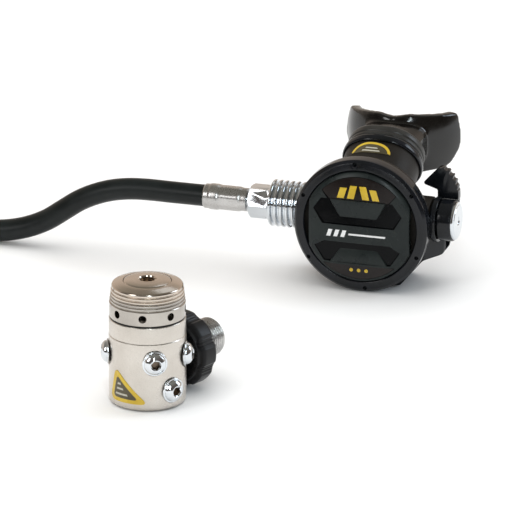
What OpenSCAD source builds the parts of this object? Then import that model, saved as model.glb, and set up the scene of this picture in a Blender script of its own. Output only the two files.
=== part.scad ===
// Scuba regulator set: a diaphragm first stage with a DIN connector, and a second stage
// (demand valve) on its low-pressure hose. Millimetres, +Z up, floor at z = 0.
// The origin is the centre of the first stage's base. The second stage has its own frame,
// placed by second_stage(): x to the adjusting knob, y to the mouth, z up, with its origin
// at the centre of the cover's front face.

/* [First stage] */
// Radius of the pressure body
body_r = 22.5; // [22:0.1:23]
// Height of the joint between the body and the clamping ring
joint_z = 41.3; // [41:0.1:42]
// Number of water vents in the spring chamber
vent_count = 8; // [6:1:10]
// Radius of a port plug's head
plug_head_r = 6.8; // [6.4:0.1:7]

/* [DIN connector] */
// Outer radius of the G5/8 connector thread
din_thread_r = 11.45; // [11.4:0.01:11.5]
// Outer radius of the handwheel
wheel_r = 22.5; // [21:0.1:22.8]
// Height of the connector's axis
din_z = 23; // [22.9:0.1:23.5]

/* [Second stage] */
// Outer radius of the front cover ring
ring_r = 41; // [40.5:0.1:41]
// Radius of the purge button
button_r = 34; // [33.5:0.1:34]
// Travel of the purge button
button_travel = 3; // [2:0.1:3]
// Outer radius of the heat exchanger's fins
fin_r = 14.2; // [13:0.1:15]
// Number of fins
fin_count = 6; // [4:1:6]
// Radius of the inhalation adjusting knob
knob_r = 12.3; // [11:0.1:12.5]

/* [Hose] */
// Outer diameter of the hose
hose_d = 13; // [12:0.5:13]
// Radius of the turn in which the hose lies
turn_r = 70; // [66:1:72]

/* [Hidden] */
$fn = 96;

gap = 0.3;              // clear distance between faces of pieces that move
fit = 0.05;             // radial clearance of pieces that only sit in each other

// First stage heights and places
clamp_top = 51.5;
seal_top = 52.4;
vent_z = 57;
cap_z = 65.4;
dome_z = 71.7;
crown_z = 74.4;
disc_r = 13.9;          // the adjuster's visible head
vent_r = 2.35;
chamber_bore = 13.5;
lp_ports = [[11, 30], [78, 30], [-88, 30]];  // angle from the front, height
open_port = [-150, 30];                      // left open for the hose
high_port = [40, 12];
lp_thread_r = 4.76;     // 3/8-24 UNF outside radius
lp_bore_r = 4.35;       // 3/8-24 UNF tapped bore
high_thread_r = 5.5;      // 7/16-20 UNF outside radius
seat_face = 21.9;       // distance from the axis of the flat face under a plug
spot_r = 7.9;           // radius of that face
din_turn = 50;          // direction of the connector, from +X
stem_r = 7.6;
wheel_from = body_r + 0.4;
wheel_to = 38;
din_end = 57;

// Second stage
second_at = [124, 180, 41];
second_yaw = -16.7;
ring_depth = 10;
grille_back = button_travel + 4.5;  // back face of the grille under the button
rim_r = 37.6;           // thread between the ring and the housing
bowl_r = 38.6;
wall = 2.6;
valve_y = 22;
valve_z = 1.5;
tube_r = 7;
tube_bore = 5;
boss_end = 39.1;
hinge_at = [10, 14];    // demand lever's pin, x and y
neck_at = [0, 20, 9.5];
neck_tilt = 27;         // rise of the mouth tube
neck_r = 19.5;
neck_flat = 3.5;        // half the flat between the two round sides
collar_from = 31;
floor_z = -second_at[2];
port_at = [0, 30, -30.5];
port_tilt = -150;

// The hose's route, in the second stage's frame: straight out of the ferrule, down to the
// floor in a slack curve, along the floor, round half a turn and straight back.
hose_r = hose_d / 2;
floor_axis = floor_z + hose_r;
hose_start = -102;
lead_route = [
    [hose_start, 1.5], [-120, 1.5], [-140, 1.5], [-150, 0.8], [-160, -1.1], [-170, -4.5],
    [-180, -9.5], [-190, -16.5], [-200, -23.6], [-210, -28.6], [-220, -31.9], [-230, -33.8],
    [-240, -34.5], [-262, -34.5], [-288, -34.5], [-314, -34.5]
];
turn_x = -340;          // where the half turn begins and ends
turn_steps = 10;
turn_y = valve_y - turn_r;
return_y = valve_y - 2 * turn_r;
return_route = [        // x and height: the far ferrule is thicker than the hose, so it lies higher
    [-318, -34.4], [-296, -34], [-275, -33.2], [-255, -33]
];
ferrule_long = 27;
far_at = [-255, return_y, -33];

function arc(cx, cy, r, from, to, steps) =
    [for (i = [0:steps]) let (a = from + (to - from) * i / steps) [cx + r * cos(a), cy + r * sin(a)]];
function unit(v) = v / norm(v);
function along(path, i) =
    unit(path[min(i + 1, len(path) - 1)] - path[max(i - 1, 0)]);
function circle_at(p, t, r, sides) =
    let (side = unit(cross(t, [0, 0, 1])), up = cross(side, t))
    [for (k = [0:sides - 1]) p + r * (cos(360 * k / sides) * side + sin(360 * k / sides) * up)];
function helix(r, z0, z1, turns, steps) =
    [for (i = [0:turns * steps]) [r * cos(360 * i / steps), r * sin(360 * i / steps),
        z0 + (z1 - z0) * i / (turns * steps)]];
function rounded(points, r, steps) =
    let (n = len(points))
    [for (i = [0:n - 1]) let (p = points[i],
        a = unit(points[(i + n - 1) % n] - p), b = unit(points[(i + 1) % n] - p),
        half = acos(a * b) / 2, c = p + unit(a + b) * r / sin(half),
        ta = p + a * r / tan(half) - c, tb = p + b * r / tan(half) - c)
        for (k = [0:steps]) c + r * unit(ta * (steps - k) + tb * k)];

// A tube of radius r along a path: rings of points, joined by triangles, with flat ends
module sweep(path, r, sides) {
    n = len(path);
    points = [for (i = [0:n - 1]) each circle_at(path[i], along(path, i), r, sides)];
    polyhedron(points, concat(
        [[for (k = [sides - 1:-1:0]) k]],
        [[for (k = [0:sides - 1]) (n - 1) * sides + k]],
        [for (i = [0:n - 2], k = [0:sides - 1]) [i * sides + k, i * sides + (k + 1) % sides,
            (i + 1) * sides + k]],
        [for (i = [0:n - 2], k = [0:sides - 1]) [i * sides + (k + 1) % sides,
            (i + 1) * sides + (k + 1) % sides, (i + 1) * sides + k]]), convexity = 6);
}

module spring(r, wire, z0, z1, turns) {
    sweep(helix(r, z0 + wire, z1 - wire, turns, 12), wire, 6);
}

module torus(r, wire) {
    rotate_extrude() translate([r, 0]) circle(wire, $fn = 24);
}

module tube(r, bore, z0, z1) {
    translate([0, 0, z0]) difference() {
        cylinder(r = r, h = z1 - z0);
        translate([0, 0, -1]) cylinder(r = bore, h = z1 - z0 + 2);
    }
}

module second_stage() {
    translate(second_at) rotate([0, 0, second_yaw]) children();
}

// on_valve_axis() turns z to point along the valve, to the knob, and on_depth_axis() turns it
// to point to the mouth. slab() makes a flat outline in x and z into a slab from y0 to y1.
module on_valve_axis() {
    translate([0, valve_y, valve_z]) rotate([0, 90, 0]) children();
}
module on_depth_axis() {
    rotate([-90, 0, 0]) children();
}
module slab(y0, y1) {
    translate([0, y1, 0]) rotate([90, 0, 0]) linear_extrude(y1 - y0) children();
}
module on_neck() {
    translate(neck_at) rotate([neck_tilt - 90, 0, 0]) children();
}
module on_port(port) {
    rotate([0, 0, port[0] - 90]) translate([0, 0, port[1]]) rotate([0, 90, 0]) children();
}
module on_din_axis() {
    rotate([0, 0, din_turn]) translate([0, 0, din_z]) rotate([0, 90, 0]) children();
}

// ---------------------------------------------------------------- first stage

module first_stage_body() {
    color("silver") difference() {
        rotate_extrude() polygon(concat(
            [[0, joint_z], [0, 0]],
            arc(body_r - 3, 3, 3, -90, 0, 5),
            [[body_r, joint_z]]));
        translate([0, 0, 36]) cylinder(r = 16, h = 10);
        translate([0, 0, 8]) cylinder(r = 5.5, h = 24);
        translate([0, 0, 31]) cylinder(r = 4.5, h = 6);
        for (p = lp_ports) {
            on_port(p) translate([0, 0, 10.5]) cylinder(r = lp_thread_r + fit, h = 14);
            on_port(p) translate([0, 0, seat_face]) cylinder(r = spot_r, h = 9);
        }
        on_port(open_port) translate([0, 0, 10.5]) cylinder(r = lp_bore_r, h = 14);
        on_port(open_port) translate([0, 0, seat_face]) cylinder(r = spot_r, h = 9);
        on_port(high_port) translate([0, 0, 12.5]) cylinder(r = high_thread_r + fit, h = 12);
        on_port(high_port) translate([0, 0, 4]) cylinder(r = 1.5, h = 12);
        on_port(high_port) translate([0, 0, seat_face]) cylinder(r = spot_r, h = 9);
        on_din_axis() translate([0, 0, 14]) cylinder(r = stem_r + fit, h = 12);
        on_din_axis() translate([0, 0, 4]) cylinder(r = 2.5, h = 12);
        for (p = concat(lp_ports, [open_port])) rotate([0, 0, p[0] - 90])
            translate([9, 0, 26]) cylinder(r = 2, h = 12);
    }
}

module diaphragm_clamp() {
    color("silver") tube(body_r - 0.1, 17.3, joint_z + 0.1, clamp_top);
}

module chamber_seal() {
    color("black") tube(body_r - 0.5, 17.3, clamp_top, seal_top);
}

module spring_chamber() {
    color("silver") difference() {
        rotate_extrude() polygon([
            [chamber_bore, 42.6], [17.2, 42.6], [17.2, seal_top], [22.2, seal_top], [22.2, 61],
            [21.5, 61.2], [21.5, 61.7], [21.9, 61.9], [21.9, 62.9], [21.3, 63.1], [21.3, 63.7],
            [21.7, 63.9], [21.7, 64.8], [20.9, 65.1], [20.9, 65.3], [chamber_bore, 65.3]]);
        for (i = [0:vent_count - 1]) rotate([0, 0, -97 + i * 360 / vent_count])
            translate([0, 0, vent_z]) rotate([0, 90, 0]) translate([0, 0, 10])
                cylinder(r = vent_r, h = 15);
    }
}

module dome_cap() {
    color("tan") rotate_extrude() polygon(concat(
        [[disc_r + gap, cap_z], [20.7, cap_z], [21.4, 65.7], [21.4, 66.7], [20.8, 66.9],
            [20.8, 67.5], [21.2, 67.7], [21.2, 68.8], [20.6, 69], [20.6, 69.6], [20.9, 69.8]],
        arc(19.5, 70.4, 1.4, 0, 80, 4),
        [[17, 72.6], [disc_r + gap, 73.3]]));
}

module adjuster_screw() {
    color("tan") difference() {
        union() {
            translate([0, 0, 60.2]) cylinder(r = 13.2, h = 8);
            rotate_extrude() polygon([
                [0, 66], [disc_r, 66], [disc_r, 73.2], [disc_r - 0.5, 73.6], [10, 74.1],
                [6, crown_z], [0, crown_z]]);
        }
        translate([0, 0, crown_z - 5]) cylinder(r = 4.9, h = 6, $fn = 12);
    }
}

module spring_seat() {
    color("gray") tube(12.5, 3, 57.2, 59);
}

module main_spring() {
    color("dimgray") spring(9.5, 1.5, 44.7, 57.2, 3);
}

module spring_pad() {
    color("gray") translate([0, 0, joint_z + 1.2]) cylinder(r = 12, h = 2);
}

module first_stage_diaphragm() {
    color("black") translate([0, 0, joint_z + 0.1]) cylinder(r = 17, h = 1);
}

module lifter_pin() {
    color("gray") translate([0, 0, 23.9]) cylinder(r = 1.1, h = 17);
    color("gray") translate([0, 0, 39.4]) cylinder(r = 8, h = 1.6);
}

module high_pressure_seat() {
    color("gray") tube(5.45, 1.9, 25, 31.9);
    color("gray") tube(3, 1.9, 24, 25.2);
}

module high_pressure_valve() {
    color("gray") translate([0, 0, 14.3]) cylinder(r = 4.6, h = 1.2);
    color("gray") translate([0, 0, 10.5]) cylinder(r = 2.8, h = 13.2);
}

module high_pressure_spring() {
    color("dimgray") spring(4.3, 0.5, 8, 14.2, 4);
}

// A screwed plug: a threaded shank, and a domed head with a hexagon socket
module plug(shank_r) {
    difference() {
        union() {
            translate([0, 0, 14.5]) cylinder(r = shank_r, h = 8.6);
            rotate_extrude() polygon(concat(
                [[0, seat_face + 0.9], [plug_head_r, seat_face + 0.9],
                    [plug_head_r, seat_face + 2]],
                arc(0, seat_face + 2, plug_head_r, 18, 62, 6) * [[1, 0], [0, 0.5]]
                    + [for (i = [0:6]) [0, (seat_face + 2) / 2]],
                [[0, seat_face + 5.1]]));
        }
        translate([0, 0, seat_face + 1.5]) cylinder(r = 2.9, h = 6, $fn = 6);
    }
}

module lp_port_plugs() {
    color("lightgray") for (p = lp_ports) on_port(p) plug(lp_thread_r);
}

module high_pressure_plug() {
    color("lightgray") on_port(high_port) plug(high_thread_r);
}

module plug_orings() {
    color("black") for (p = lp_ports) on_port(p) translate([0, 0, seat_face + 0.45])
        torus(5.7, 0.43);
    color("black") on_port(high_port) translate([0, 0, seat_face + 0.45]) torus(6.2, 0.43);
}

// A rounded triangle on the body's lower left, curved with the body
module first_stage_badge() {
    color("gold") intersection() {
        tube(body_r + 0.5, body_r + 0.05, 1, 30);
        rotate([0, 0, -34]) slab(-30, -8) polygon(rounded([[-12.5, 4.5], [14, 4.5], [-7.5, 25]],
            3, 4));
    }
}

module din_stem() {
    color("lightgray") on_din_axis() difference() {
        union() {
            translate([0, 0, 14.2]) cylinder(r = stem_r, h = 40);
            translate([0, 0, 53.9]) cylinder(r = 9.2, h = 3.3);
        }
        translate([0, 0, 13]) cylinder(r = 2.5, h = 50);
        translate([0, 0, 50]) cylinder(r = 5.05, h = 9);
        translate([0, 0, 56.3]) tube(8.2, 6.2, 0, 2);
    }
}

module handwheel() {
    color("black") on_din_axis() difference() {
        translate([0, 0, wheel_from]) cylinder(r = wheel_r - 1.5, h = wheel_to - wheel_from);
        translate([0, 0, wheel_from - 1]) cylinder(r = 12.05, h = 20);
    }
    color("black") on_din_axis() for (i = [0:7]) rotate([0, 0, i * 45 + 22.5])
        intersection() {
            difference() {
                translate([0, 0, wheel_from + 2]) cylinder(r = wheel_r, h = 12.5);
                translate([0, 0, wheel_from]) cylinder(r = wheel_r - 1.6, h = 17);
            }
            translate([wheel_r - 4, -6, wheel_from]) cube([8, 12, 17]);
        }
}

module din_connector() {
    color("lightgray") on_din_axis() difference() {
        union() {
            translate([0, 0, wheel_from]) cylinder(r = 12, h = wheel_to - wheel_from);
            translate([0, 0, wheel_to - 1]) cylinder(r = din_thread_r, h = din_end - wheel_to + 1);
        }
        translate([0, 0, wheel_from - 1]) cylinder(r = stem_r + 0.08, h = 40);
        translate([0, 0, 53.5]) cylinder(r = 9.4, h = 5);
    }
}

module din_oring() {
    color("black") on_din_axis() translate([0, 0, 57]) torus(7.2, 0.7);
}

module inlet_filter() {
    color("peru") on_din_axis() translate([0, 0, 50.1]) cylinder(r = 5, h = 3.5);
}

// --------------------------------------------------------------- second stage

module bowl_outside(grow) {
    on_depth_axis() rotate_extrude() polygon([
        [0, 8.5], [rim_r + grow, 8.5], [rim_r + grow, ring_depth + 0.2], [bowl_r + grow, 10.2],
        [bowl_r + grow, 16], [30.4 + grow, 30], [26.5 + grow, 36], [21 + grow, 40],
        [14 + grow, 41.5 + grow], [0, 41.5 + grow]]);
}

module neck_outline(r) {
    translate([neck_flat, 0]) circle(r);
    translate([-neck_flat, 0]) circle(r);
    translate([-neck_flat, -r]) square([2 * neck_flat, 2 * r]);
}

module at_exhaust_port() {
    translate(port_at) rotate([port_tilt, 0, 0]) children();
}

module housing() {
    color("#28241e") second_stage() difference() {
        union() {
            difference() {
                union() {
                    bowl_outside(0);
                    on_neck() linear_extrude(33) neck_outline(neck_r);
                    on_valve_axis() translate([0, 0, -39.5]) cylinder(r = 13.2, h = 20);
                    on_valve_axis() translate([0, 0, 20]) cylinder(r = 13.2, h = boss_end - 20);
                    at_exhaust_port() translate([0, 0, -4]) cylinder(r = 10.8, h = 5);
                }
                on_depth_axis() tube(60, rim_r, 5, ring_depth + 0.2);
                on_depth_axis() rotate_extrude() polygon([
                    [0, 8], [34, 8], [34, 10], [bowl_r - wall, 11], [bowl_r - wall, 15.4],
                    [28, 28.6], [24.4, 34], [19.8, 37.4], [13.4, 38.9], [0, 38.9]]);
                on_neck() translate([0, 0, 6]) linear_extrude(30) neck_outline(neck_r - wall);
            }
            at_exhaust_port() cylinder(r = 2.6, h = 0.8);
            at_exhaust_port() translate([-9, -0.9, -1]) cube([18, 1.8, 1.8]);
            at_exhaust_port() translate([-0.9, -9, -1]) cube([1.8, 18, 1.8]);
        }
        on_valve_axis() translate([0, 0, -45]) cylinder(r = tube_r + fit, h = 40);
        on_valve_axis() translate([0, 0, 10]) cylinder(r = 9.3, h = 40);
        at_exhaust_port() for (i = [0:3]) rotate([0, 0, 45 + 90 * i]) translate([4.9, 0, -8])
            cylinder(r = 2.9, h = 12);
        at_exhaust_port() translate([0, 0, -4]) cylinder(r = 1.5, h = 9);
    }
}

module cover_ring() {
    color("#14171b") second_stage() difference() {
        on_depth_axis() rotate_extrude() polygon([
            [34.4, 0.6], [35, 0], [39.6, 0], [ring_r, 1.4], [ring_r, ring_depth - 0.8],
            [ring_r - 0.6, ring_depth], [rim_r + fit, ring_depth], [rim_r + fit, 7.6],
            [36.2, 7.6], [36.2, 2], [34.4, 2]]);
        for (i = [0:5]) rotate([0, -35 - i * 60, 0]) translate([38.8, -1, 0]) rotate([-90, 0, 0])
            cylinder(r = 1.2, h = 4);
    }
}

module lens(r, edge) {
    intersection() {
        circle(r);
        translate([-40, edge]) square([80, 40]);
        square([46, 80], center = true);
    }
}

module purge_button() {
    color("#2d3230") second_stage() difference() {
        union() {
            on_depth_axis() rotate_extrude() polygon([
                [0, -3.6], [20, -3.3], [29, -2.4], [button_r - 0.6, -1], [button_r, -0.2],
                [button_r, 2.4], [35.6, 2.4], [35.6, 3.2], [32, 3.2], [31, 1], [0, 1]]);
            on_depth_axis() cylinder(r = 4, h = grille_back);
        }
        for (side = [-1, 1]) translate([side * 33.2, -4, 0]) slab(0, 5.9)
            square([5, 36], center = true);
        slab(-5, -1.2) lens(31.6, 16);
        slab(-5, -1.2) mirror([0, 1]) lens(32.2, 24);
    }
}

module button_window_top() {
    color("gold") second_stage() slab(-2.2, -1.2) lens(31.4, 16.2);
}

module button_window_bottom() {
    color("#3c2c20") second_stage() slab(-2, -1.2) mirror([0, 1]) lens(32, 24.2);
}

module purge_spring() {
    color("gray") second_stage() on_depth_axis() spring(6.5, 0.4, 1.1, 6.4, 3);
}

// The plate under the button: the purge spring stands on it, and water passes its holes
module cover_grille() {
    color("#202224") second_stage() on_depth_axis() difference() {
        translate([0, 0, grille_back - 1]) cylinder(r = 36.1, h = 1);
        translate([0, 0, 5]) cylinder(r = 4.5, h = 4);
        for (i = [0:5]) rotate([0, 0, i * 60]) translate([19, 0, 5]) cylinder(r = 7, h = 4);
    }
}

module diaphragm() {
    color("#504038") second_stage() on_depth_axis() rotate_extrude() polygon([
        [36.1, 7.65], [36.1, 8.45], [33.6, 8.45], [32, 9.6], [29, 9.9], [26.4, 9], [24.4, 8.6],
        [21.4, 8.6], [21.4, 8], [24.6, 8], [26.8, 8.4], [29.2, 9.2], [31.6, 8.9], [33.2, 7.65]]);
}

module diaphragm_plate() {
    color("#8a8478") second_stage() on_depth_axis() difference() {
        translate([0, 0, 7.7]) cylinder(r = 21, h = 0.8);
        for (i = [0:5]) rotate([0, 0, i * 60]) translate([14, 0, 7]) cylinder(r = 2.5, h = 3);
    }
}

module demand_lever() {
    color("lightgray") second_stage() translate([hinge_at[0], hinge_at[1], valve_z])
        difference() {
            union() {
                translate([0, 0, -3.4]) cylinder(r = 1.9, h = 6.8);
                for (s = [-1, 1]) translate([-1.1, 0, s * 2.9 - 0.5]) cube([1.3, 6.4, 1]);
                rotate([0, 0, 193]) translate([0, -0.5, -2.6]) cube([18.6, 1, 5.2]);
                translate([-18.4, -4.3, -3.4]) cylinder(r = 0.9, h = 6.8);
            }
            translate([0, 0, -5]) cylinder(r = 0.86, h = 10);
        }
}

module lever_pin() {
    color("gray") second_stage() translate([hinge_at[0], hinge_at[1], valve_z - 6.2])
        cylinder(r = 0.8, h = 12.4);
}

module valve_tube() {
    color("lightgray") second_stage() difference() {
        union() {
            on_valve_axis() tube(tube_r, tube_bore, -46, 43.5);
            translate([6.5, hinge_at[1] - 2.4, valve_z - 6.4]) cube([7, 5.4, 12.8]);
        }
        translate([5, 8, valve_z - 3.7]) cube([10, 12.5, 7.4]);
        on_valve_axis() translate([0, 0, -50]) cylinder(r = tube_bore, h = 100);
        translate([hinge_at[0], hinge_at[1], valve_z - 9]) cylinder(r = 0.8, h = 18);
        translate([-8, valve_y, valve_z]) rotate([-90, 0, 0]) cylinder(r = 3, h = 10);
    }
}

module orifice() {
    color("gold") second_stage() on_valve_axis() {
        tube(tube_bore - fit, 2.2, -36, -25);
        tube(3, 2.2, -25.2, -23);
    }
}

module lp_seat() {
    color("black") second_stage() on_valve_axis() translate([0, 0, -22.8]) cylinder(r = 3.6, h = 1.4);
}

module poppet() {
    color("white") second_stage() on_valve_axis() {
        difference() {
            translate([0, 0, -22]) cylinder(r = 4.6, h = 6);
            translate([0, 0, -23]) cylinder(r = 3.65, h = 1.7);
        }
        translate([0, 0, -17]) cylinder(r = 2, h = 37);
        translate([0, 0, 10.5]) cylinder(r = 4.6, h = 2);
    }
}

module poppet_spring() {
    color("dimgray") second_stage() on_valve_axis() spring(3.6, 0.5, 12.6, 25.4, 6);
}

module adjust_plunger() {
    color("lightgray") second_stage() on_valve_axis() {
        translate([0, 0, 28.6]) cylinder(r = tube_bore - 0.08, h = 13);
        translate([0, 0, 41]) cylinder(r = 2.5, h = 9.3);
    }
}

module adjust_knob() {
    color("#101114") second_stage() on_valve_axis() rotate_extrude() polygon([
        [2.6, 44], [knob_r - 0.6, 44], [knob_r, 44.6], [knob_r, 51.9], [knob_r - 0.6, 52.5],
        [11.5, 52.5], [11.5, 51.8], [2.6, 51.8]]);
}

module knob_cap() {
    color("lightgray") second_stage() on_valve_axis() difference() {
        translate([0, 0, 51.85]) cylinder(r = 11.4, h = 2.6);
        translate([0, 0, 52.8]) cylinder(r = 2.3, h = 3, $fn = 6);
    }
}

module venturi_lever() {
    color("#101114") second_stage() difference() {
        union() {
            on_valve_axis() tube(9, tube_r + gap, 18, 40);
            on_valve_axis() tube(11.4, tube_r + gap, boss_end + gap, 41);
            on_valve_axis() tube(13.5, tube_r + gap, ring_r + gap, 42.9);
            difference() {
                slab(28.5, 33.8) polygon([
                    [39.6, 6], [51.8, 6], [52.6, 13], [52.4, 19], [50.3, 25.5], [46.8, 29.8],
                    [42.5, 31.8], [39.5, 30.8], [31, 21.6], [31.6, 20], [39.6, 17.5]]);
                on_valve_axis() translate([0, 0, 42.8]) cylinder(r = knob_r + 1.8, h = 12);
            }
        }
        for (p = [[53.5, 17.5], [52.7, 22.5], [50.2, 27.2], [46.4, 31.3]])
            translate([p[0], 25, p[1]]) rotate([-90, 0, 0]) cylinder(r = 1.5, h = 12);
    }
}

module venturi_vane() {
    color("#101114") second_stage() on_valve_axis() intersection() {
        tube(11, tube_r + gap, 6, 18 - fit);
        translate([-6, 2, 0]) cube([12, 12, 40]);
    }
}

module exhaust_valve() {
    color("#38342e") second_stage() at_exhaust_port() {
        translate([0, 0, 1.05]) cylinder(r = 9.6, h = 0.8);
        translate([0, 0, -3]) cylinder(r = 1.45, h = 4.5);
    }
}

// The cover's plan: wings that taper back to both outlets
module exhaust_tee() {
    color("#17181a") second_stage() difference() {
        intersection() {
            slab(17, 43) polygon([
                [-46, -12], [-43, -23.2], [-34, -24], [-20, floor_z], [20, floor_z],
                [34, -24], [43, -23.2], [46, -12]]);
            translate([0, 0, -45]) linear_extrude(60) polygon([
                [-34, 17], [34, 17], [44, 31], [46, 43], [-46, 43], [-44, 31]]);
        }
        intersection() {
            slab(19, 41) polygon([
                [-52, -14], [-52, -21.2], [-33, -21.9], [-19, floor_z + 1.8],
                [19, floor_z + 1.8], [33, -21.9], [52, -21.2], [52, -14]]);
            translate([0, 0, -45]) linear_extrude(60) polygon([
                [-33, 19], [33, 19], [42, 31.6], [60, 31.6], [60, 41], [-60, 41], [-60, 31.6],
                [-42, 31.6]]);
        }
        bowl_outside(0.1);
        translate([-22, 12, -20.5]) cube([44, 40, 20.5]);
    }
}

module mouthpiece() {
    color("#121212") second_stage() difference() {
        union() {
            on_neck() translate([0, 0, 33.2]) linear_extrude(16) neck_outline(17);
            hull() {
                on_neck() translate([0, 0, 46]) linear_extrude(1) neck_outline(16.4, $fn = 32);
                translate([-19, 76, 15.5]) cube([38, 3, 26]);
            }
            difference() {
                translate([0, 107, 9.5]) cylinder(r = 34, h = 35.5);
                translate([0, 108, 8]) cylinder(r = 29, h = 39);
                translate([-50, 98.5, 5]) cube([100, 60, 50]);
            }
            for (s = [-1, 1]) translate([s * 19 - 4, 80, 21.5]) cube([8, 14, 12]);
        }
        on_neck() translate([0, 0, 30]) linear_extrude(20) neck_outline(14);
        translate([-15, 50, 21.5]) cube([30, 40, 13]);
    }
}

module mouthpiece_collar() {
    color("#343434") second_stage() on_neck() difference() {
        translate([0, 0, collar_from + 4.5]) linear_extrude(8) neck_outline(neck_r + 0.6);
        translate([0, 0, 30]) linear_extrude(20) neck_outline(17.1);
    }
}

module mouthpiece_tie() {
    color("#0c0c0e") second_stage() on_neck() difference() {
        translate([0, 0, collar_from - 1]) linear_extrude(5) neck_outline(neck_r + 1.6);
        translate([0, 0, 25]) linear_extrude(20) neck_outline(neck_r + 0.05);
    }
}

module neck_badge() {
    color("gold") second_stage() difference() {
        on_neck() intersection() {
            difference() {
                translate([0, 0, 12]) linear_extrude(17) neck_outline(neck_r + 0.5);
                translate([0, 0, 10]) linear_extrude(30) neck_outline(neck_r + 0.05);
            }
            translate([0, 0, 15.5]) rotate([90, 0, 0]) cylinder(r = 12.5, h = 40);
            translate([-20, -40, 15.5]) cube([40, 40, 20]);
        }
        bowl_outside(0.1);
    }
}

module heat_exchanger() {
    color("lightgray") second_stage() difference() {
        on_valve_axis() union() {
            translate([0, 0, -60.2]) cylinder(r = 9.8, h = 20.5);
            translate([0, 0, -60.2]) cylinder(r = 11.6, h = 20.2);
            translate([0, 0, -67.6]) cylinder(r = 6.5, h = 10);
            for (i = [0:fin_count - 1]) translate([0, 0, -60.2 + i * 3.6]) cylinder(r = fin_r, h = 2.6);
        }
        on_valve_axis() translate([0, 0, -70]) cylinder(r = 4.6, h = 40);
        on_valve_axis() translate([0, 0, -46.1]) cylinder(r = tube_r + fit, h = 10);
        on_depth_axis() translate([0, 0, -1]) cylinder(r = ring_r + gap, h = ring_depth + 1 + gap);
    }
}

module hose_swivel_nut() {
    color("lightgray") second_stage() on_valve_axis() difference() {
        intersection() {
            translate([0, 0, -73.5]) rotate([0, 0, 30]) cylinder(r = 10.4, h = 13.2, $fn = 6);
            rotate_extrude() polygon([
                [0, -73.5], [8.8, -73.5], [10.5, -72.2], [10.5, -61.4], [9.2, -60.3], [0, -60.3]]);
        }
        translate([0, 0, -72.5]) cylinder(r = 6.58, h = 14);
        translate([0, 0, -75]) cylinder(r = 5.4, h = 6);
    }
}

module hose_stem() {
    color("lightgray") second_stage() on_valve_axis() rotate_extrude() polygon([
        [3, -100], [5, -100], [5, -72.3], [6.2, -72.3], [6.2, -70.3], [4.2, -70.3], [4.2, -63],
        [3, -63]]);
}

module stem_oring() {
    color("black") second_stage() on_valve_axis() translate([0, 0, -69]) torus(5.1, 0.85);
}

// The crimped sleeve over a hose end, along z from its hose end at 0
module ferrule() {
    difference() {
        rotate_extrude() polygon([
            [0, 0], [6.9, 0], [7.4, 0.6], [7.4, 3], [7.9, 4.4], [7.9, 8.5], [7.5, 10], [7.5, 22],
            [7, 23.5], [7, ferrule_long], [0, ferrule_long]]);
        translate([0, 0, -1]) cylinder(r = 5 + fit, h = ferrule_long + 2);
    }
}

module hose_ferrule() {
    color("silver") second_stage() on_valve_axis() translate([0, 0, hose_start]) ferrule();
}

module hose() {
    color("#141c1a") second_stage() sweep(concat(
        [for (p = lead_route) [p[0], valve_y, p[1]]],
        [for (p = arc(turn_x, turn_y, turn_r, 90, 270, turn_steps)) [p[0], p[1], floor_axis]],
        [for (p = return_route) [p[0], return_y, p[1]]]), hose_r, 12);
}

module at_far_end() {
    translate(far_at) rotate([0, 90, 0]) children();
}

module far_ferrule() {
    color("silver") second_stage() at_far_end() ferrule();
}

// The hose's other end: a hexagon, a plain seat for the seal and a 3/8-24 thread
module far_fitting() {
    color("lightgray") second_stage() at_far_end() difference() {
        union() {
            translate([0, 0, ferrule_long]) cylinder(r = 15.8 / sqrt(3), h = 9, $fn = 6);
            translate([0, 0, ferrule_long + 8]) cylinder(r = 3.9, h = 10);
            translate([0, 0, ferrule_long + 12]) cylinder(r = lp_thread_r - 0.06, h = 9);
        }
        translate([0, 0, ferrule_long - 1]) cylinder(r = 2.6, h = 30);
    }
}

module far_oring() {
    color("black") second_stage() at_far_end() translate([0, 0, ferrule_long + 10.2])
        torus(4.85, 0.9);
}

first_stage_body();
diaphragm_clamp();
chamber_seal();
spring_chamber();
dome_cap();
adjuster_screw();
spring_seat();
main_spring();
spring_pad();
first_stage_diaphragm();
lifter_pin();
high_pressure_seat();
high_pressure_valve();
high_pressure_spring();
lp_port_plugs();
high_pressure_plug();
plug_orings();
first_stage_badge();
din_stem();
handwheel();
din_connector();
din_oring();
inlet_filter();
housing();
cover_ring();
purge_button();
button_window_top();
button_window_bottom();
purge_spring();
cover_grille();
diaphragm();
diaphragm_plate();
demand_lever();
lever_pin();
valve_tube();
orifice();
lp_seat();
poppet();
poppet_spring();
adjust_plunger();
adjust_knob();
knob_cap();
venturi_lever();
venturi_vane();
exhaust_valve();
exhaust_tee();
mouthpiece();
mouthpiece_collar();
mouthpiece_tie();
neck_badge();
heat_exchanger();
hose_swivel_nut();
hose_stem();
stem_oring();
hose_ferrule();
hose();
far_ferrule();
far_fitting();
far_oring();
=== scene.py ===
"""Looks of the scuba regulator set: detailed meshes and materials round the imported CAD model.
Lengths are millimetres in a few local frames, and place() turns them into metres."""
import math
import bmesh
import bpy
from mathutils import Matrix, Vector


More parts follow.
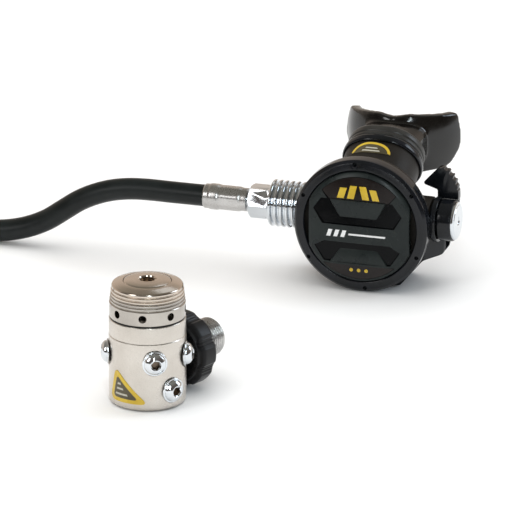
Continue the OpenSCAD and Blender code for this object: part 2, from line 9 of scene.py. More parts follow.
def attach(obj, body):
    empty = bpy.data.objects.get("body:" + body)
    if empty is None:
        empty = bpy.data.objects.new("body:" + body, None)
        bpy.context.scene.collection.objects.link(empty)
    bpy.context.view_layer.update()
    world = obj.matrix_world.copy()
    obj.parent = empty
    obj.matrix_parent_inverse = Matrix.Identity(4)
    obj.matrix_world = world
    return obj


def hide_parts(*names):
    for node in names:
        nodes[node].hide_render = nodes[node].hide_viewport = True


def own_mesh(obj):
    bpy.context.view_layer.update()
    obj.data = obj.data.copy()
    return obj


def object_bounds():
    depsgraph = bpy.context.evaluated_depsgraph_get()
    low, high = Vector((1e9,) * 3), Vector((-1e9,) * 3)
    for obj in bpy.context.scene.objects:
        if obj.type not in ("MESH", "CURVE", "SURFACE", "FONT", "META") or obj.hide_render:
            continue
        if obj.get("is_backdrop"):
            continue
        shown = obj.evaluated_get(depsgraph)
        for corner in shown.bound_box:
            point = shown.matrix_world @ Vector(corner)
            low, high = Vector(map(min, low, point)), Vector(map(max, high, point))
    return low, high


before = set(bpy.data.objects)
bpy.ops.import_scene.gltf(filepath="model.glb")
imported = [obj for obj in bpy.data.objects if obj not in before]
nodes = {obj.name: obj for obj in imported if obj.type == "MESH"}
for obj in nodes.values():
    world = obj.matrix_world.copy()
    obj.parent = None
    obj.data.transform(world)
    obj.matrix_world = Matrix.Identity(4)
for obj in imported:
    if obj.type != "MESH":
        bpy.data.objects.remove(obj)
cad_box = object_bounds()

MM = 0.001
TURN = 2 * math.pi


# ------------------------------------------------------------------ frames
def turned(axis, degrees):
    return Matrix.Rotation(math.radians(degrees), 4, axis)


def moved(x, y, z):
    return Matrix.Translation((x * MM, y * MM, z * MM))


WORLD = Matrix.Identity(4)
SECOND = moved(124, 180, 41) @ turned("Z", -16.7)        # x to the knob, y to the mouth, z up
VALVE_Y, VALVE_Z = 22, 1.5
VALVE = SECOND @ moved(0, VALVE_Y, VALVE_Z) @ turned("Y", 90)  # z along the valve, to the knob
DEPTH = SECOND @ turned("X", -90)                        # z to the mouth
NECK = SECOND @ moved(0, 20, 9.5) @ turned("X", 27 - 90)   # z along the mouth tube
DIN = turned("Z", 50) @ moved(0, 0, 23) @ turned("Y", 90)      # z out along the connector
EXHAUST = SECOND @ moved(0, 30, -30.5) @ turned("X", -150)


def port(angle, height):
    return turned("Z", angle - 90) @ moved(0, 0, height) @ turned("Y", 90)


LP_HEIGHT, HP_HEIGHT = 30, 12
LP_PORTS = [port(angle, LP_HEIGHT) for angle in (11, 78, -88)]
OPEN_PORT = port(-150, LP_HEIGHT)
HP_PORT = port(40, HP_HEIGHT)

# ------------------------------------------------------------------ camera
IMAGE = 510                     # pixels along each side
MM_PER_PIXEL = 0.585
ELEVATION = math.radians(20)
CAMERA_AWAY = 8.0
AIM = Vector((0.0622, 0.1, 0.0523))


def make_camera():
    data = bpy.data.cameras.new("camera")
    data.sensor_width = 36
    data.lens = data.sensor_width * CAMERA_AWAY / (IMAGE * MM_PER_PIXEL * MM)
    data.clip_end = 60
    camera = bpy.data.objects.new("camera", data)
    bpy.context.scene.collection.objects.link(camera)
    forward = Vector((0, math.cos(ELEVATION), -math.sin(ELEVATION)))
    camera.location = AIM - forward * CAMERA_AWAY
    camera.rotation_euler = (math.radians(90) - ELEVATION, 0, 0)
    bpy.context.scene.camera = camera


make_camera()


# --------------------------------------------------------------- materials
def shader(name, colour, rough, metal=0.0, coat=0.0, spec=0.5):
    """A principled material, with its node tree and shader for the detail to be added."""
    material = bpy.data.materials.new(name)
    material.use_nodes = True
    tree = material.node_tree
    bsdf = tree.nodes["Principled BSDF"]
    bsdf.inputs["Base Color"].default_value = (*colour, 1)
    bsdf.inputs["Roughness"].default_value = rough
    bsdf.inputs["Metallic"].default_value = metal
    bsdf.inputs["Coat Weight"].default_value = coat
    bsdf.inputs["Coat Roughness"].default_value = 0.05
    bsdf.inputs["Specular IOR Level"].default_value = spec
    return material, tree, bsdf


def noise(tree, scale, stretch=(1, 1, 1), detail=4.0):
    """Noise in the row's own metres; stretch multiplies the frequency along each axis."""
    coords = tree.nodes.new("ShaderNodeTexCoord")
    mapping = tree.nodes.new("ShaderNodeMapping")
    mapping.inputs["Scale"].default_value = stretch
    texture = tree.nodes.new("ShaderNodeTexNoise")
    texture.inputs["Scale"].default_value = scale
    texture.inputs["Detail"].default_value = detail
    tree.links.new(coords.outputs["Object"], mapping.inputs["Vector"])
    tree.links.new(mapping.outputs["Vector"], texture.inputs["Vector"])
    return texture.outputs["Fac"]


def spread(tree, value, low, high):
    """Maps noise between 0.35 and 0.65 to the range from low to high."""
    node = tree.nodes.new("ShaderNodeMapRange")
    node.inputs["From Min"].default_value = 0.35
    node.inputs["From Max"].default_value = 0.65
    node.inputs["To Min"].default_value = low
    node.inputs["To Max"].default_value = high
    tree.links.new(value, node.inputs["Value"])
    return node.outputs["Result"]


def bump(tree, bsdf, value, depth, strength=1.0):
    node = tree.nodes.new("ShaderNodeBump")
    node.inputs["Strength"].default_value = strength
    node.inputs["Distance"].default_value = depth * MM
    tree.links.new(value, node.inputs["Height"])
    tree.links.new(node.outputs["Normal"], bsdf.inputs["Normal"])


def tint(tree, bsdf, value, dark, light):
    ramp = tree.nodes.new("ShaderNodeValToRGB")
    ramp.color_ramp.elements[0].position = 0.35
    ramp.color_ramp.elements[1].position = 0.65
    ramp.color_ramp.elements[0].color = (*dark, 1)
    ramp.color_ramp.elements[1].color = (*light, 1)
    tree.links.new(value, ramp.inputs["Fac"])
    tree.links.new(ramp.outputs["Color"], bsdf.inputs["Base Color"])


def metal(name, dark, light, rough, grain, stretch, depth=0.004):
    """Machined metal: its colour, gloss and fine tool marks vary along stretch."""
    material, tree, bsdf = shader(name, light, rough[0], metal=1.0)
    fine = noise(tree, grain, stretch, 3.0)
    broad = noise(tree, 60)
    tint(tree, bsdf, broad, dark, light)
    tree.links.new(spread(tree, fine, *rough), bsdf.inputs["Roughness"])
    bump(tree, bsdf, fine, depth, 0.5)
    return material


def moulding(name, dark, light, rough, coat, grain, depth, spec=0.5):
    """Moulded plastic or rubber: slight colour and gloss variation and a surface grain."""
    material, tree, bsdf = shader(name, light, rough[0], coat=coat, spec=spec)
    fine = noise(tree, grain)
    broad = noise(tree, 90)
    tint(tree, bsdf, broad, dark, light)
    tree.links.new(spread(tree, broad, *rough), bsdf.inputs["Roughness"])
    bump(tree, bsdf, fine, depth, 0.6)
    return material


# dark colour, light colour, roughness range, grain, grain's stretch, grain's depth in mm
METALS = {
    "satin_nickel": ((0.59, 0.55, 0.5), (0.65, 0.61, 0.56), (0.26, 0.36), 900, (1, 1, 6)),
    "polished_nickel": ((0.55, 0.48, 0.41), (0.61, 0.54, 0.47), (0.12, 0.2), 900, (1, 1, 5), 0.003),
    # The ribbed nickel is a darker copy of the polished nickel: painted shade on the spring
    # chamber's vented and ribbed band
    "shaded_ribbed_nickel": ((0.4, 0.37, 0.34), (0.5, 0.47, 0.43), (0.14, 0.24), 1200, (1, 1, 1), 0.006),
    "chrome": ((0.66, 0.69, 0.72), (0.74, 0.77, 0.8), (0.06, 0.13), 400, (1, 1, 1), 0.001),
    "satin_steel": ((0.5, 0.49, 0.48), (0.62, 0.61, 0.6), (0.22, 0.34), 1500, (3, 1, 1)),
    "spring_steel": ((0.35, 0.35, 0.36), (0.5, 0.5, 0.5), (0.3, 0.4), 1500, (1, 1, 1)),
    # The socket steel is a dark copy of the satin steel: painted shade inside the plugs' hexagon
    # sockets
    "socket_shade_steel": ((0.1, 0.08, 0.06), (0.17, 0.13, 0.1), (0.3, 0.4), 1500, (1, 1, 1)),
    "bronze_filter": ((0.36, 0.22, 0.12), (0.55, 0.38, 0.22), (0.5, 0.7), 2500, (1, 1, 1), 0.08),
}
# dark colour, light colour, roughness range, coat, grain, grain's depth in mm, specular
MOULDINGS = {
    "black_gloss": ((0.004, 0.005, 0.006), (0.007, 0.008, 0.011), (0.12, 0.2),
                    0.0, 1500, 0.006, 0.32),
    "black_matte": ((0.011, 0.009, 0.007), (0.017, 0.014, 0.011), (0.46, 0.56),
                    0.0, 2600, 0.03, 0.22),
    "button_grey": ((0.012, 0.016, 0.016), (0.017, 0.022, 0.021), (0.24, 0.32),
                    0.0, 2600, 0.008, 0.2),
    # The button's recess colour is a near-black copy of the button grey: painted shade in its
    # pockets and window recesses
    "button_recess_shade": ((0.0012, 0.0016, 0.002), (0.0022, 0.0026, 0.003), (0.12, 0.2),
                    0.0, 2000, 0.004, 0.12),
    "wheel_black": ((0.003, 0.003, 0.0035), (0.006, 0.006, 0.007), (0.3, 0.42),
                    0.0, 1800, 0.03, 0.25),
    "seal_black": ((0.003, 0.003, 0.003), (0.006, 0.006, 0.006), (0.3, 0.4), 0.0, 2000, 0.01, 0.25),
    "hose_rubber": ((0.004, 0.006, 0.006), (0.008, 0.011, 0.011), (0.34, 0.44),
                    0.0, 2200, 0.02, 0.28),
    "mouth_silicone": ((0.003, 0.0026, 0.0022), (0.006, 0.005, 0.004), (0.1, 0.17),
                       0.0, 700, 0.005, 0.55),
    "collar_grey": ((0.022, 0.021, 0.019), (0.032, 0.031, 0.028), (0.3, 0.4),
                    0.0, 1500, 0.02, 0.35),
    "diaphragm_silicone": ((0.18, 0.12, 0.08), (0.27, 0.18, 0.12), (0.35, 0.45), 0.1, 1500, 0.01),
    "badge_yellow": ((0.56, 0.37, 0.02), (0.66, 0.46, 0.035), (0.25, 0.3), 0.5, 900, 0.002, 0.3),
    "badge_brown": ((0.055, 0.045, 0.022), (0.085, 0.07, 0.038), (0.25, 0.3), 0.3, 900, 0.002, 0.3),
    "badge_light": ((0.42, 0.4, 0.32), (0.5, 0.48, 0.4), (0.3, 0.35), 0.3, 900, 0.002, 0.3),
    "window_brown": ((0.005, 0.003, 0.0025), (0.01, 0.006, 0.005), (0.1, 0.16),
                     0.0, 900, 0.002, 0.3),
    "white_plastic": ((0.7, 0.69, 0.65), (0.78, 0.77, 0.74), (0.3, 0.4), 0.0, 1500, 0.01),
    "white_print": ((0.78, 0.78, 0.78), (0.86, 0.86, 0.86), (0.35, 0.4), 0.0, 1500, 0.004),
}
MAT = {name: metal(name, *row) for name, row in METALS.items()}
MAT.update({name: moulding(name, *row) for name, row in MOULDINGS.items()})
# Finish slot of each extra colour; the ribbed nickel, button recess and socket copies are painted
# shade on their slot's finish
SLOT_OF = {
    "shaded_ribbed_nickel": "polished_nickel", "button_recess_shade": "button_grey", "badge_brown": "badge_yellow",
    "badge_light": "badge_yellow", "white_print": "white_plastic", "socket_shade_steel": "satin_steel",
}


# ------------------------------------------------------------ mesh helpers
def raw(verts, faces, where):
    """A mesh object from millimetres in a local frame."""
    mesh = bpy.data.meshes.new("part")
    mesh.from_pydata([where @ (Vector(v) * MM) for v in verts], [], faces)
    obj = bpy.data.objects.new("part", mesh)
    bpy.context.scene.collection.objects.link(obj)
    return obj


def named(obj, name, material, node, body="root", sharp=35):
    """Names and tidies the object, gives it its finish and body, and hides the CAD node it stands
    for.
    """
    obj.name = name
    obj.data.name = name
    tidy(obj, sharp)
    obj.data.materials.clear()
    obj.data.materials.append(MAT[material])
    SLOT_OF.get(material, material)
    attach(obj, body)
    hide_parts(node)
    return obj


def place(name, verts, faces, where, material, node, body="root", sharp=35):
    return named(raw(verts, faces, where), name, material, node, body, sharp)


def tidy(obj, sharp=35):
    """Merges doubled points, turns the faces outward, and shades smooth except at sharp edges."""
    bm = bmesh.new()
    bm.from_mesh(obj.data)
    bmesh.ops.remove_doubles(bm, verts=bm.verts, dist=2e-6)
    bmesh.ops.dissolve_degenerate(bm, edges=bm.edges, dist=1e-6)
    bmesh.ops.recalc_face_normals(bm, faces=bm.faces)
    bm.to_mesh(obj.data)
    bm.free()
    obj.data.shade_smooth()
    obj.data.set_sharp_from_angle(angle=math.radians(sharp))


def part(verts, faces, where):
    """A bare mesh object, for cutting or joining."""
    obj = raw(verts, faces, where)
    tidy(obj)
    return obj


def settle(obj):
    """Applies the object's modifiers to its mesh."""
    bpy.context.view_layer.update()
    depsgraph = bpy.context.evaluated_depsgraph_get()
    baked = bpy.data.meshes.new_from_object(obj.evaluated_get(depsgraph), depsgraph=depsgraph)
    obj.modifiers.clear()
    old = obj.data
    obj.data = baked
    bpy.data.meshes.remove(old)


def combine(obj, others, operation="DIFFERENCE"):
    """Cuts the others from the object, or unites or intersects them, and deletes the others."""
    for other in others:
        modifier = obj.modifiers.new("cut", "BOOLEAN")
        modifier.operation = operation
        modifier.solver = "EXACT"
        modifier.object = other
    settle(obj)
    for other in others:
        bpy.data.objects.remove(other)
    tidy(obj)
    return obj


def bevelled(obj, width, segments=2, angle=30):
    modifier = obj.modifiers.new("bevel", "BEVEL")
    modifier.width = width * MM
    modifier.segments = segments
    modifier.limit_method = "ANGLE"
    modifier.angle_limit = math.radians(angle)
    settle(obj)
    tidy(obj)
    return obj


def soft(profile, radius=0.25, steps=2, closed=True):
    """Rounds the corners of an outline, by at most a third of each side."""
    out = []
    count = len(profile)
    for i, p in enumerate(profile):
        p = Vector(p)
        if not closed and i in (0, count - 1):
            out.append(tuple(p))
            continue
        a = Vector(profile[i - 1]) - p
        b = Vector(profile[(i + 1) % count]) - p
        reach = min(radius, a.length / 3, b.length / 3)
        pa, pb = p + a.normalized() * reach, p + b.normalized() * reach
        for k in range(steps + 1):
            t = k / steps
            out.append(tuple(pa * (1 - t) ** 2 + p * 2 * t * (1 - t) + pb * t * t))
    return out


def rows(profile, longest=3.0):
    """Adds points so that no side of an open outline is longer than that."""
    out = [profile[0]]
    for a, b in zip(profile, profile[1:]):
        n = max(1, math.ceil(math.dist(a, b) / longest))
        out += [tuple(Vector(a).lerp(Vector(b), k / n)) for k in range(1, n + 1)]
    return out


def arc(cx, cy, r, start, end, steps):
    angles = [math.radians(start + (end - start) * i / steps) for i in range(steps + 1)]
    return [(cx + r * math.cos(a), cy + r * math.sin(a)) for a in angles]


def swept(lines, closed):
    """The faces between neighbouring lines of points, from the last back to the first."""
    n = len(lines[0])
    faces = []
    for i in range(len(lines)):
        here, after = i * n, (i + 1) % len(lines) * n
        faces += [(here + k, after + k, after + (k + 1) % n, here + (k + 1) % n)
                  for k in range(n if closed else n - 1)]
    return [p for line in lines for p in line], faces


def lathe(profile, steps=128, closed=False, shape=None):
    """Turns an outline of (radius, z) round z. shape(angle, r, z) may change each radius."""
    lines = []
    for i in range(steps):
        a = TURN * i / steps
        line = [(shape(a, r, z) if shape and r > 0 else r, z) for r, z in profile]
        lines.append([(r * math.cos(a), r * math.sin(a), z) for r, z in line])
    return swept(lines, closed)


def loft(rings, capped=True):
    """The faces between closed rings of points, with a cap on the first and the last."""
    n = len(rings[0])
    last = (len(rings) - 1) * n
    faces = []
    for i in range(0, last, n):
        faces += [(i + k, i + (k + 1) % n, i + n + (k + 1) % n, i + n + k) for k in range(n)]
    if capped:
        faces += [tuple(range(n))[::-1], tuple(range(last, last + n))]
    return [p for ring in rings for p in ring], faces


def prism(outline, z0, z1, top=None):
    """A straight or tapered prism between z0 and z1; top is the outline at z1."""
    n = len(outline)
    verts = [(x, y, z0) for x, y in outline] + [(x, y, z1) for x, y in (top or outline)]
    faces = [tuple(range(n))[::-1], tuple(range(n, 2 * n))]
    faces += [(i, (i + 1) % n, n + (i + 1) % n, n + i) for i in range(n)]
    return verts, faces


def slab(outline, y0, y1, top=None):
    """The same in the second stage's frame: the outline is in x and z, from y0 back to y1."""
    verts, faces = prism(outline, y0, y1, top)
    return [(x, z, y) for x, y, z in verts], faces


def polygon(sides, r, turn=0.0):
    return [(r * math.cos(TURN * i / sides + turn), r * math.sin(TURN * i / sides + turn))
            for i in range(sides)]


def rod(r, z0, z1, where, sides=48):
    return part(*prism(polygon(sides, r), z0, z1), where)


def block(x0, x1, y0, y1, z0, z1, where):
    return part(*prism([(x0, y0), (x1, y0), (x1, y1), (x0, y1)], z0, z1), where)


def joined(objs):
    """One object from several, without uniting their volumes."""
    bm = bmesh.new()
    for o in objs:
        bm.from_mesh(o.data)
    bm.to_mesh(objs[0].data)
    bm.free()
    for o in objs[1:]:
        bpy.data.objects.remove(o)
    return objs[0]


# -------------------------------------------------------------------- hose
HOSE_R = 6.5
FLOOR_AXIS = -34.5
HOSE_START = -102
LEAD_ROUTE = [
    (HOSE_START, 1.5), (-120, 1.5), (-140, 1.5), (-150, 0.8), (-160, -1.1), (-170, -4.5),
    (-180, -9.5), (-190, -16.5), (-200, -23.6), (-210, -28.6), (-220, -31.9), (-230, -33.8),
    (-240, -34.5), (-262, -34.5), (-288, -34.5), (-314, -34.5),
]
TURN_X, TURN_R, TURN_STEPS = -340, 70, 10
TURN_Y = VALVE_Y - TURN_R
RETURN_Y = VALVE_Y - 2 * TURN_R
RETURN_ROUTE = [(-318, -34.4), (-296, -34), (-275, -33.2), (-255, -33)]


def hose_route():
    route = [(x, VALVE_Y, z) for x, z in LEAD_ROUTE]
    for i in range(TURN_STEPS + 1):
        a = math.radians(90 + 180 * i / TURN_STEPS)
        route.append((TURN_X + TURN_R * math.cos(a), TURN_Y + TURN_R * math.sin(a), FLOOR_AXIS))
    route += [(x, RETURN_Y, z) for x, z in RETURN_ROUTE]
    return [Vector(p) for p in route]


def smooth_line(points, steps):
    """A Catmull-Rom curve through the points, with steps pieces between each two."""
    out = []
    ends = [2 * points[0] - points[1], *points, 2 * points[-1] - points[-2]]
    for i in range(1, len(ends) - 2):
        p0, p1, p2, p3 = ends[i - 1:i + 3]
        t1 = math.sqrt((p1 - p0).length)
        t2 = math.sqrt((p2 - p1).length)
        t3 = math.sqrt((p3 - p2).length)
        m1 = (p2 - p1) + t2 * ((p1 - p0) / t1 - (p2 - p0) / (t1 + t2))
        m2 = (p2 - p1) + t2 * ((p3 - p2) / t3 - (p3 - p1) / (t2 + t3))
        for k in range(steps):
            t = k / steps
            h1, h2 = 2 * t ** 3 - 3 * t ** 2 + 1, t ** 3 - 2 * t ** 2 + t
            h3, h4 = -2 * t ** 3 + 3 * t ** 2, t ** 3 - t ** 2
            out.append(h1 * p1 + h2 * m1 + h3 * p2 + h4 * m2)
    out.append(points[-1])
    return out


def make_hose():
    line = smooth_line(hose_route(), 6)
    curve = bpy.data.curves.new("hose_skin", "CURVE")
    curve.dimensions = "3D"
    spline = curve.splines.new("POLY")
    spline.points.add(len(line) - 1)
    for point, p in zip(spline.points, line):
        point.co = (*(SECOND @ (p * MM)), 1)
    curve.bevel_depth = HOSE_R * MM
    curve.bevel_resolution = 8
    curve.use_fill_caps = True
    hose = bpy.data.objects.new("hose_skin", curve)
    bpy.context.scene.collection.objects.link(hose)
    hose.data.materials.append(MAT["hose_rubber"])
    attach(hose, "root")
    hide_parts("hose")
    length = sum((b - a).length for a, b in zip(line, line[1:])) * MM
    return hose, line[0], length


hose, hose_exit, hose_length = make_hose()
FAR_END = SECOND @ moved(RETURN_ROUTE[-1][0], RETURN_Y, RETURN_ROUTE[-1][1]) @ turned("Y", 90)
HOSE_END = VALVE @ moved(0, 0, HOSE_START)
FERRULE_LONG = 27
UNF_PITCH, DIN_PITCH = 1.058, 1.814      # 24 and 14 turns an inch


def make_ferrule(name, where, node):
    """The sleeve crimped on the hose: eight pressed flats between two plain collars."""
    crimp_start, crimp_end, crimp_deep = 9.6, 21.8, 0.22
    end = FERRULE_LONG - 0.1
    profile = soft([(6.55, 0), (6.9, 0), (7.4, 0.6), (7.4, 3), (7.85, 4.2), (7.85, 8.4),
                    (7.45, crimp_start), (7.45, crimp_end), (7.0, 23.2), (7.0, end), (5.2, end)],
                   0.5, 3, closed=False)

    def crimp(a, r, z):
        flat = crimp_start < z < crimp_end
        return r - (crimp_deep * (1 + math.cos(8 * a)) / 2 if flat else 0.0)

    verts, faces = lathe(rows(profile, 1.2), 96, shape=crimp)
    return place(name, verts, faces, where, "satin_steel", node, sharp=50)


def circle(r, z, steps):
    return [(r * math.cos(TURN * i / steps), r * math.sin(TURN * i / steps), z)
            for i in range(steps)]


def thread_rings(r, pitch, depth, z0, z1, steps, per_turn=8, taper=1.2):
    """The rings of a screw thread, which fades out at both ends."""
    count = round((z1 - z0) / pitch * per_turn)
    rings = []
    for k in range(count + 1):
        z = z0 + (z1 - z0) * k / count
        fade = min(1, (z - z0) / taper, (z1 - z) / taper)
        ring = []
        for i in range(steps):
            ridge = 1 - abs(2 * ((z / pitch - i / steps) % 1) - 1)
            cut = depth * (1 - min(1, 1.25 * ridge))
            radius = r - depth * (1 - fade) * 0.8 - cut * fade
            a = TURN * i / steps
            ring.append((radius * math.cos(a), radius * math.sin(a), z))
        rings.append(ring)
    return rings


def hexagon(across, z0, z1, chamfer):
    """A hexagon bar with its corners turned down at both ends, as a lathe does it."""
    corner = across / math.sqrt(3)
    bar = part(*prism(polygon(6, corner), z0, z1), WORLD)
    ends = [(0, z0), (across / 2 * 0.98, z0), (corner + 0.05, z0 + chamfer),
            (corner + 0.05, z1 - chamfer), (across / 2 * 0.98, z1), (0, z1)]
    return combine(bar, [part(*lathe(ends, 96), WORLD)], "INTERSECT")


def shifted(obj, where):
    obj.data.transform(where)
    return obj


far_ferrule = make_ferrule("far_ferrule_skin", FAR_END, "far_ferrule")


def make_far_fitting():
    """The hose's hexagon, seal seat and 3/8-24 thread."""
    pieces = [
        hexagon(15.8, FERRULE_LONG, FERRULE_LONG + 9, 0.9),
        part(*prism(polygon(48, 3.9), FERRULE_LONG + 8.5, FERRULE_LONG + 12.2), WORLD),
        part(*loft(thread_rings(4.7, UNF_PITCH, 0.62, FERRULE_LONG + 12, FERRULE_LONG + 21, 48)),
             WORLD),
    ]
    fitting = shifted(joined(pieces), FAR_END)
    combine(fitting, [rod(2.6, FERRULE_LONG - 1, FERRULE_LONG + 30, FAR_END)])
    return named(fitting, "far_fitting_skin", "chrome", "far_fitting", sharp=30)


def ring_of(r, wire, z, sides=72, around=12):
    return lathe([(r + wire * math.cos(TURN * i / around), z + wire * math.sin(TURN * i / around))
                  for i in range(around)], sides, closed=True)


far_fitting = make_far_fitting()
far_oring = place("far_oring_skin", *ring_of(4.85, 0.9, FERRULE_LONG + 10.2), FAR_END,
                  "seal_black", "far_oring")


# ------------------------------------------------------------- first stage
BODY_R, JOINT_Z, CLAMP_TOP, SEAL_TOP = 22.5, 41.3, 51.5, 52.4
SEAT_FACE, SPOT_R = 21.9, 7.9
VENTS, VENT_Z, VENT_R, VENT_TURN = 8, 57, 2.35, -97
RIM_TEETH = 150                 # fine serration along the two ribbed bands


def serrated(low, high, depth=0.11):
    """A radius function with fine teeth between two heights."""
    def shape(a, r, z):
        bite = low < z < high
        return r - (depth * (0.5 + 0.5 * math.cos(RIM_TEETH * a)) if bite else 0)
    return shape


def make_body():
    outside = [(0, 0), (19.3, 0), *arc(BODY_R - 3, 3, 3, -80, 0, 10), (BODY_R, JOINT_Z - 0.35),
               (BODY_R - 0.3, JOINT_Z), (16, JOINT_Z)]
    inside = [(16, 36), (4.5, 36), (4.5, 31), (5.5, 31), (5.5, 8), (0, 8)]
    body = part(*lathe(rows(outside + inside, 4), 192), WORLD)
    cutters = []
    for where in LP_PORTS + [OPEN_PORT]:
        cutters += [rod(SPOT_R, SEAT_FACE, 30, where, 96)]
    for where in LP_PORTS:
        cutters += [rod(4.81, 10.5, 23, where)]
    bore = [(4.35, 23), (4.35, 10.5), (0, 10.5), (0, 23)]
    cutters += [part(*lathe(bore, 64, closed=True), OPEN_PORT)]
    cutters += [rod(SPOT_R, SEAT_FACE, 30, HP_PORT, 96), rod(5.55, 12.5, 23, HP_PORT)]
    cutters += [rod(7.65, 14, 26, DIN)]
    combine(body, cutters)
    named(body, "first_stage_skin", "satin_nickel", "first_stage_body")


def make_clamp():
    z0, z1, r = JOINT_Z + 0.1, CLAMP_TOP, BODY_R - 0.1
    profile = soft([(17.3, z0), (r - 0.1, z0), (r, z0 + 0.3), (r, z1 - 0.3), (r - 0.3, z1),
                    (17.3, z1)], 0.2, 2)
    place("clamp_ring_skin", *lathe(profile, 192, closed=True), WORLD, "satin_nickel",
          "diaphragm_clamp")
    seal = soft([(17.3, z1), (22.0, z1), (22.0, SEAL_TOP), (17.3, SEAL_TOP)], 0.2, 3)
    place("chamber_seal_skin", *lathe(seal, 160, closed=True), WORLD, "seal_black",
          "chamber_seal")


def make_spring_chamber():
    """The vented band and, over it, the lower pair of serrated ribs."""
    ribs = soft([(22.2, 60.7), (21.9, 61.1), (21.3, 61.3), (21.3, 61.7), (21.95, 61.95),
                 (21.95, 62.85), (21.2, 63.1), (21.2, 63.6), (21.7, 63.85), (21.7, 64.75),
                 (20.9, 65.05), (20.9, 65.3), (13.5, 65.3)], 0.22, 2, closed=False)
    profile = rows([(13.5, 42.6), (17.2, 42.6), (17.2, SEAL_TOP), (22.0, SEAL_TOP),
                    (22.2, SEAL_TOP + 0.25), *ribs, (13.5, 42.6)], 4)
    chamber = part(*lathe(profile, 4 * RIM_TEETH, shape=serrated(61.8, 65)), WORLD)
    cutters = []
    for i in range(VENTS):
        where = turned("Z", VENT_TURN + 360 * i / VENTS) @ moved(0, 0, VENT_Z) @ turned("Y", 90)
        cutters.append(rod(VENT_R, 10, 26, where, 40))
    combine(chamber, cutters)
    # The band takes the darker copy of the polished nickel: painted shade
    named(chamber, "spring_chamber_skin", "shaded_ribbed_nickel", "spring_chamber")


def make_dome():
    """The upper pair of serrated ribs, and the polished shoulder over them."""
    ribs = soft([(20.7, 65.4), (21.45, 65.65), (21.45, 66.65), (20.75, 66.9), (20.75, 67.4),
                 (21.25, 67.65), (21.25, 68.75), (20.6, 69), (20.6, 69.45), (20.9, 69.75)],
                0.22, 2, closed=False)
    crown = [*arc(19.4, 70.3, 1.5, 10, 76, 8), (17, 72.55), (14.6, 73.2), (14.2, 73.2),
             (14.2, 65.4)]
    profile = rows(ribs + crown + [ribs[0]], 3)
    place("dome_skin", *lathe(profile, 4 * RIM_TEETH, shape=serrated(65.5, 69.2)), WORLD,
          "polished_nickel", "dome_cap")


def make_adjuster():
    """The turning disc in the crown, with a splined socket for its key."""
    profile = rows([(0, 60.2), (13.2, 60.2), (13.2, 66), (13.9, 66), (13.9, 73.0), (13.55, 73.4),
                    (12.6, 73.65), (10, 74.05), (6.6, 74.3), (6.2, 74.35), (0, 74.35)], 3)
    disc = part(*lathe(profile, 160), WORLD)
    teeth = 12
    star = [((4.9 if i % 2 else 4.05) * math.cos(TURN * i / (2 * teeth)),
             (4.9 if i % 2 else 4.05) * math.sin(TURN * i / (2 * teeth)))
            for i in range(2 * teeth)]
    combine(disc, [part(*prism(star, 69.4, 76), WORLD),
                   part(*lathe([(0, 73.6), (4.9, 73.6), (5.7, 75), (0, 75)], 64), WORLD)])
    named(disc, "adjuster_skin", "polished_nickel", "adjuster_screw", "adjuster_screw")


def make_plug(name, where, shank_r, node):
    """A port plug: a shank, and a bright domed head with a hexagon socket."""
    rim = SEAT_FACE + 0.9
    profile = [(0, 14.5), (shank_r - 0.3, 14.5), (shank_r, 14.9), (shank_r, rim - 0.4),
               (7.1, rim - 0.4), (7.45, rim - 0.1), (7.45, rim + 0.5), (7.2, rim + 0.75),
               (6.45, rim + 0.8), (6.4, 24.2), (5.9, 25.3), (5.0, 26.1), (4.1, 26.65),
               (3.7, 26.85), (3.45, 26.95), (0, 26.95)]
    plug = part(*lathe(rows(soft(profile, 0.2, 2, closed=False), 3), 96), where)
    socket = prism(polygon(6, 2.9, math.radians(15)), 23.4, 30)
    mouth = lathe([(0, 26.4), (2.7, 26.4), (3.2, 27.2), (0, 27.2)], 48)
    combine(plug, [part(*socket, where), part(*mouth, where)])
    # A thin dark shell just inside the hexagon socket: painted shade in the socket
    shade_prism = prism(polygon(6, 2.87, math.radians(15)), 23.3, 26.1)
    socket_shade_shell = part(*shade_prism, where)
    combine(socket_shade_shell, [part(*prism(polygon(6, 2.75, math.radians(15)), 23.6, 30), where)])
    named(socket_shade_shell, name.replace("plug", "socket"), "socket_shade_steel", node)
    named(plug, name, "chrome", node)


def on_cylinder(outline, r, thick, turn):
    """A flat outline (distance round, height) wrapped on a cylinder round z, as a thin plate."""
    bm = bmesh.new()
    loop = [bm.verts.new((x, 0, z)) for x, z in outline]
    bm.faces.new(loop)
    for x in range(-60, 61):
        geometry = bm.verts[:] + bm.edges[:] + bm.faces[:]
        bmesh.ops.bisect_plane(bm, geom=geometry, plane_co=(x * 0.8, 0, 0), plane_no=(1, 0, 0))
    extruded = bmesh.ops.extrude_face_region(bm, geom=bm.faces[:])
    for v in extruded["geom"]:
        if isinstance(v, bmesh.types.BMVert):
            v.co.y = thick
    verts, faces = [], []
    bm.verts.index_update()
    for v in bm.verts:
        a = math.radians(turn) + v.co.x / r
        radius = r + v.co.y
        verts.append((radius * math.cos(a), radius * math.sin(a), v.co.z))
    for face in bm.faces:
        faces.append([v.index for v in face.verts])
    bm.free()
    return verts, faces


def scaled(outline, factor, cx, cz):
    return [(cx + (x - cx) * factor, cz + (z - cz) * factor) for x, z in outline]


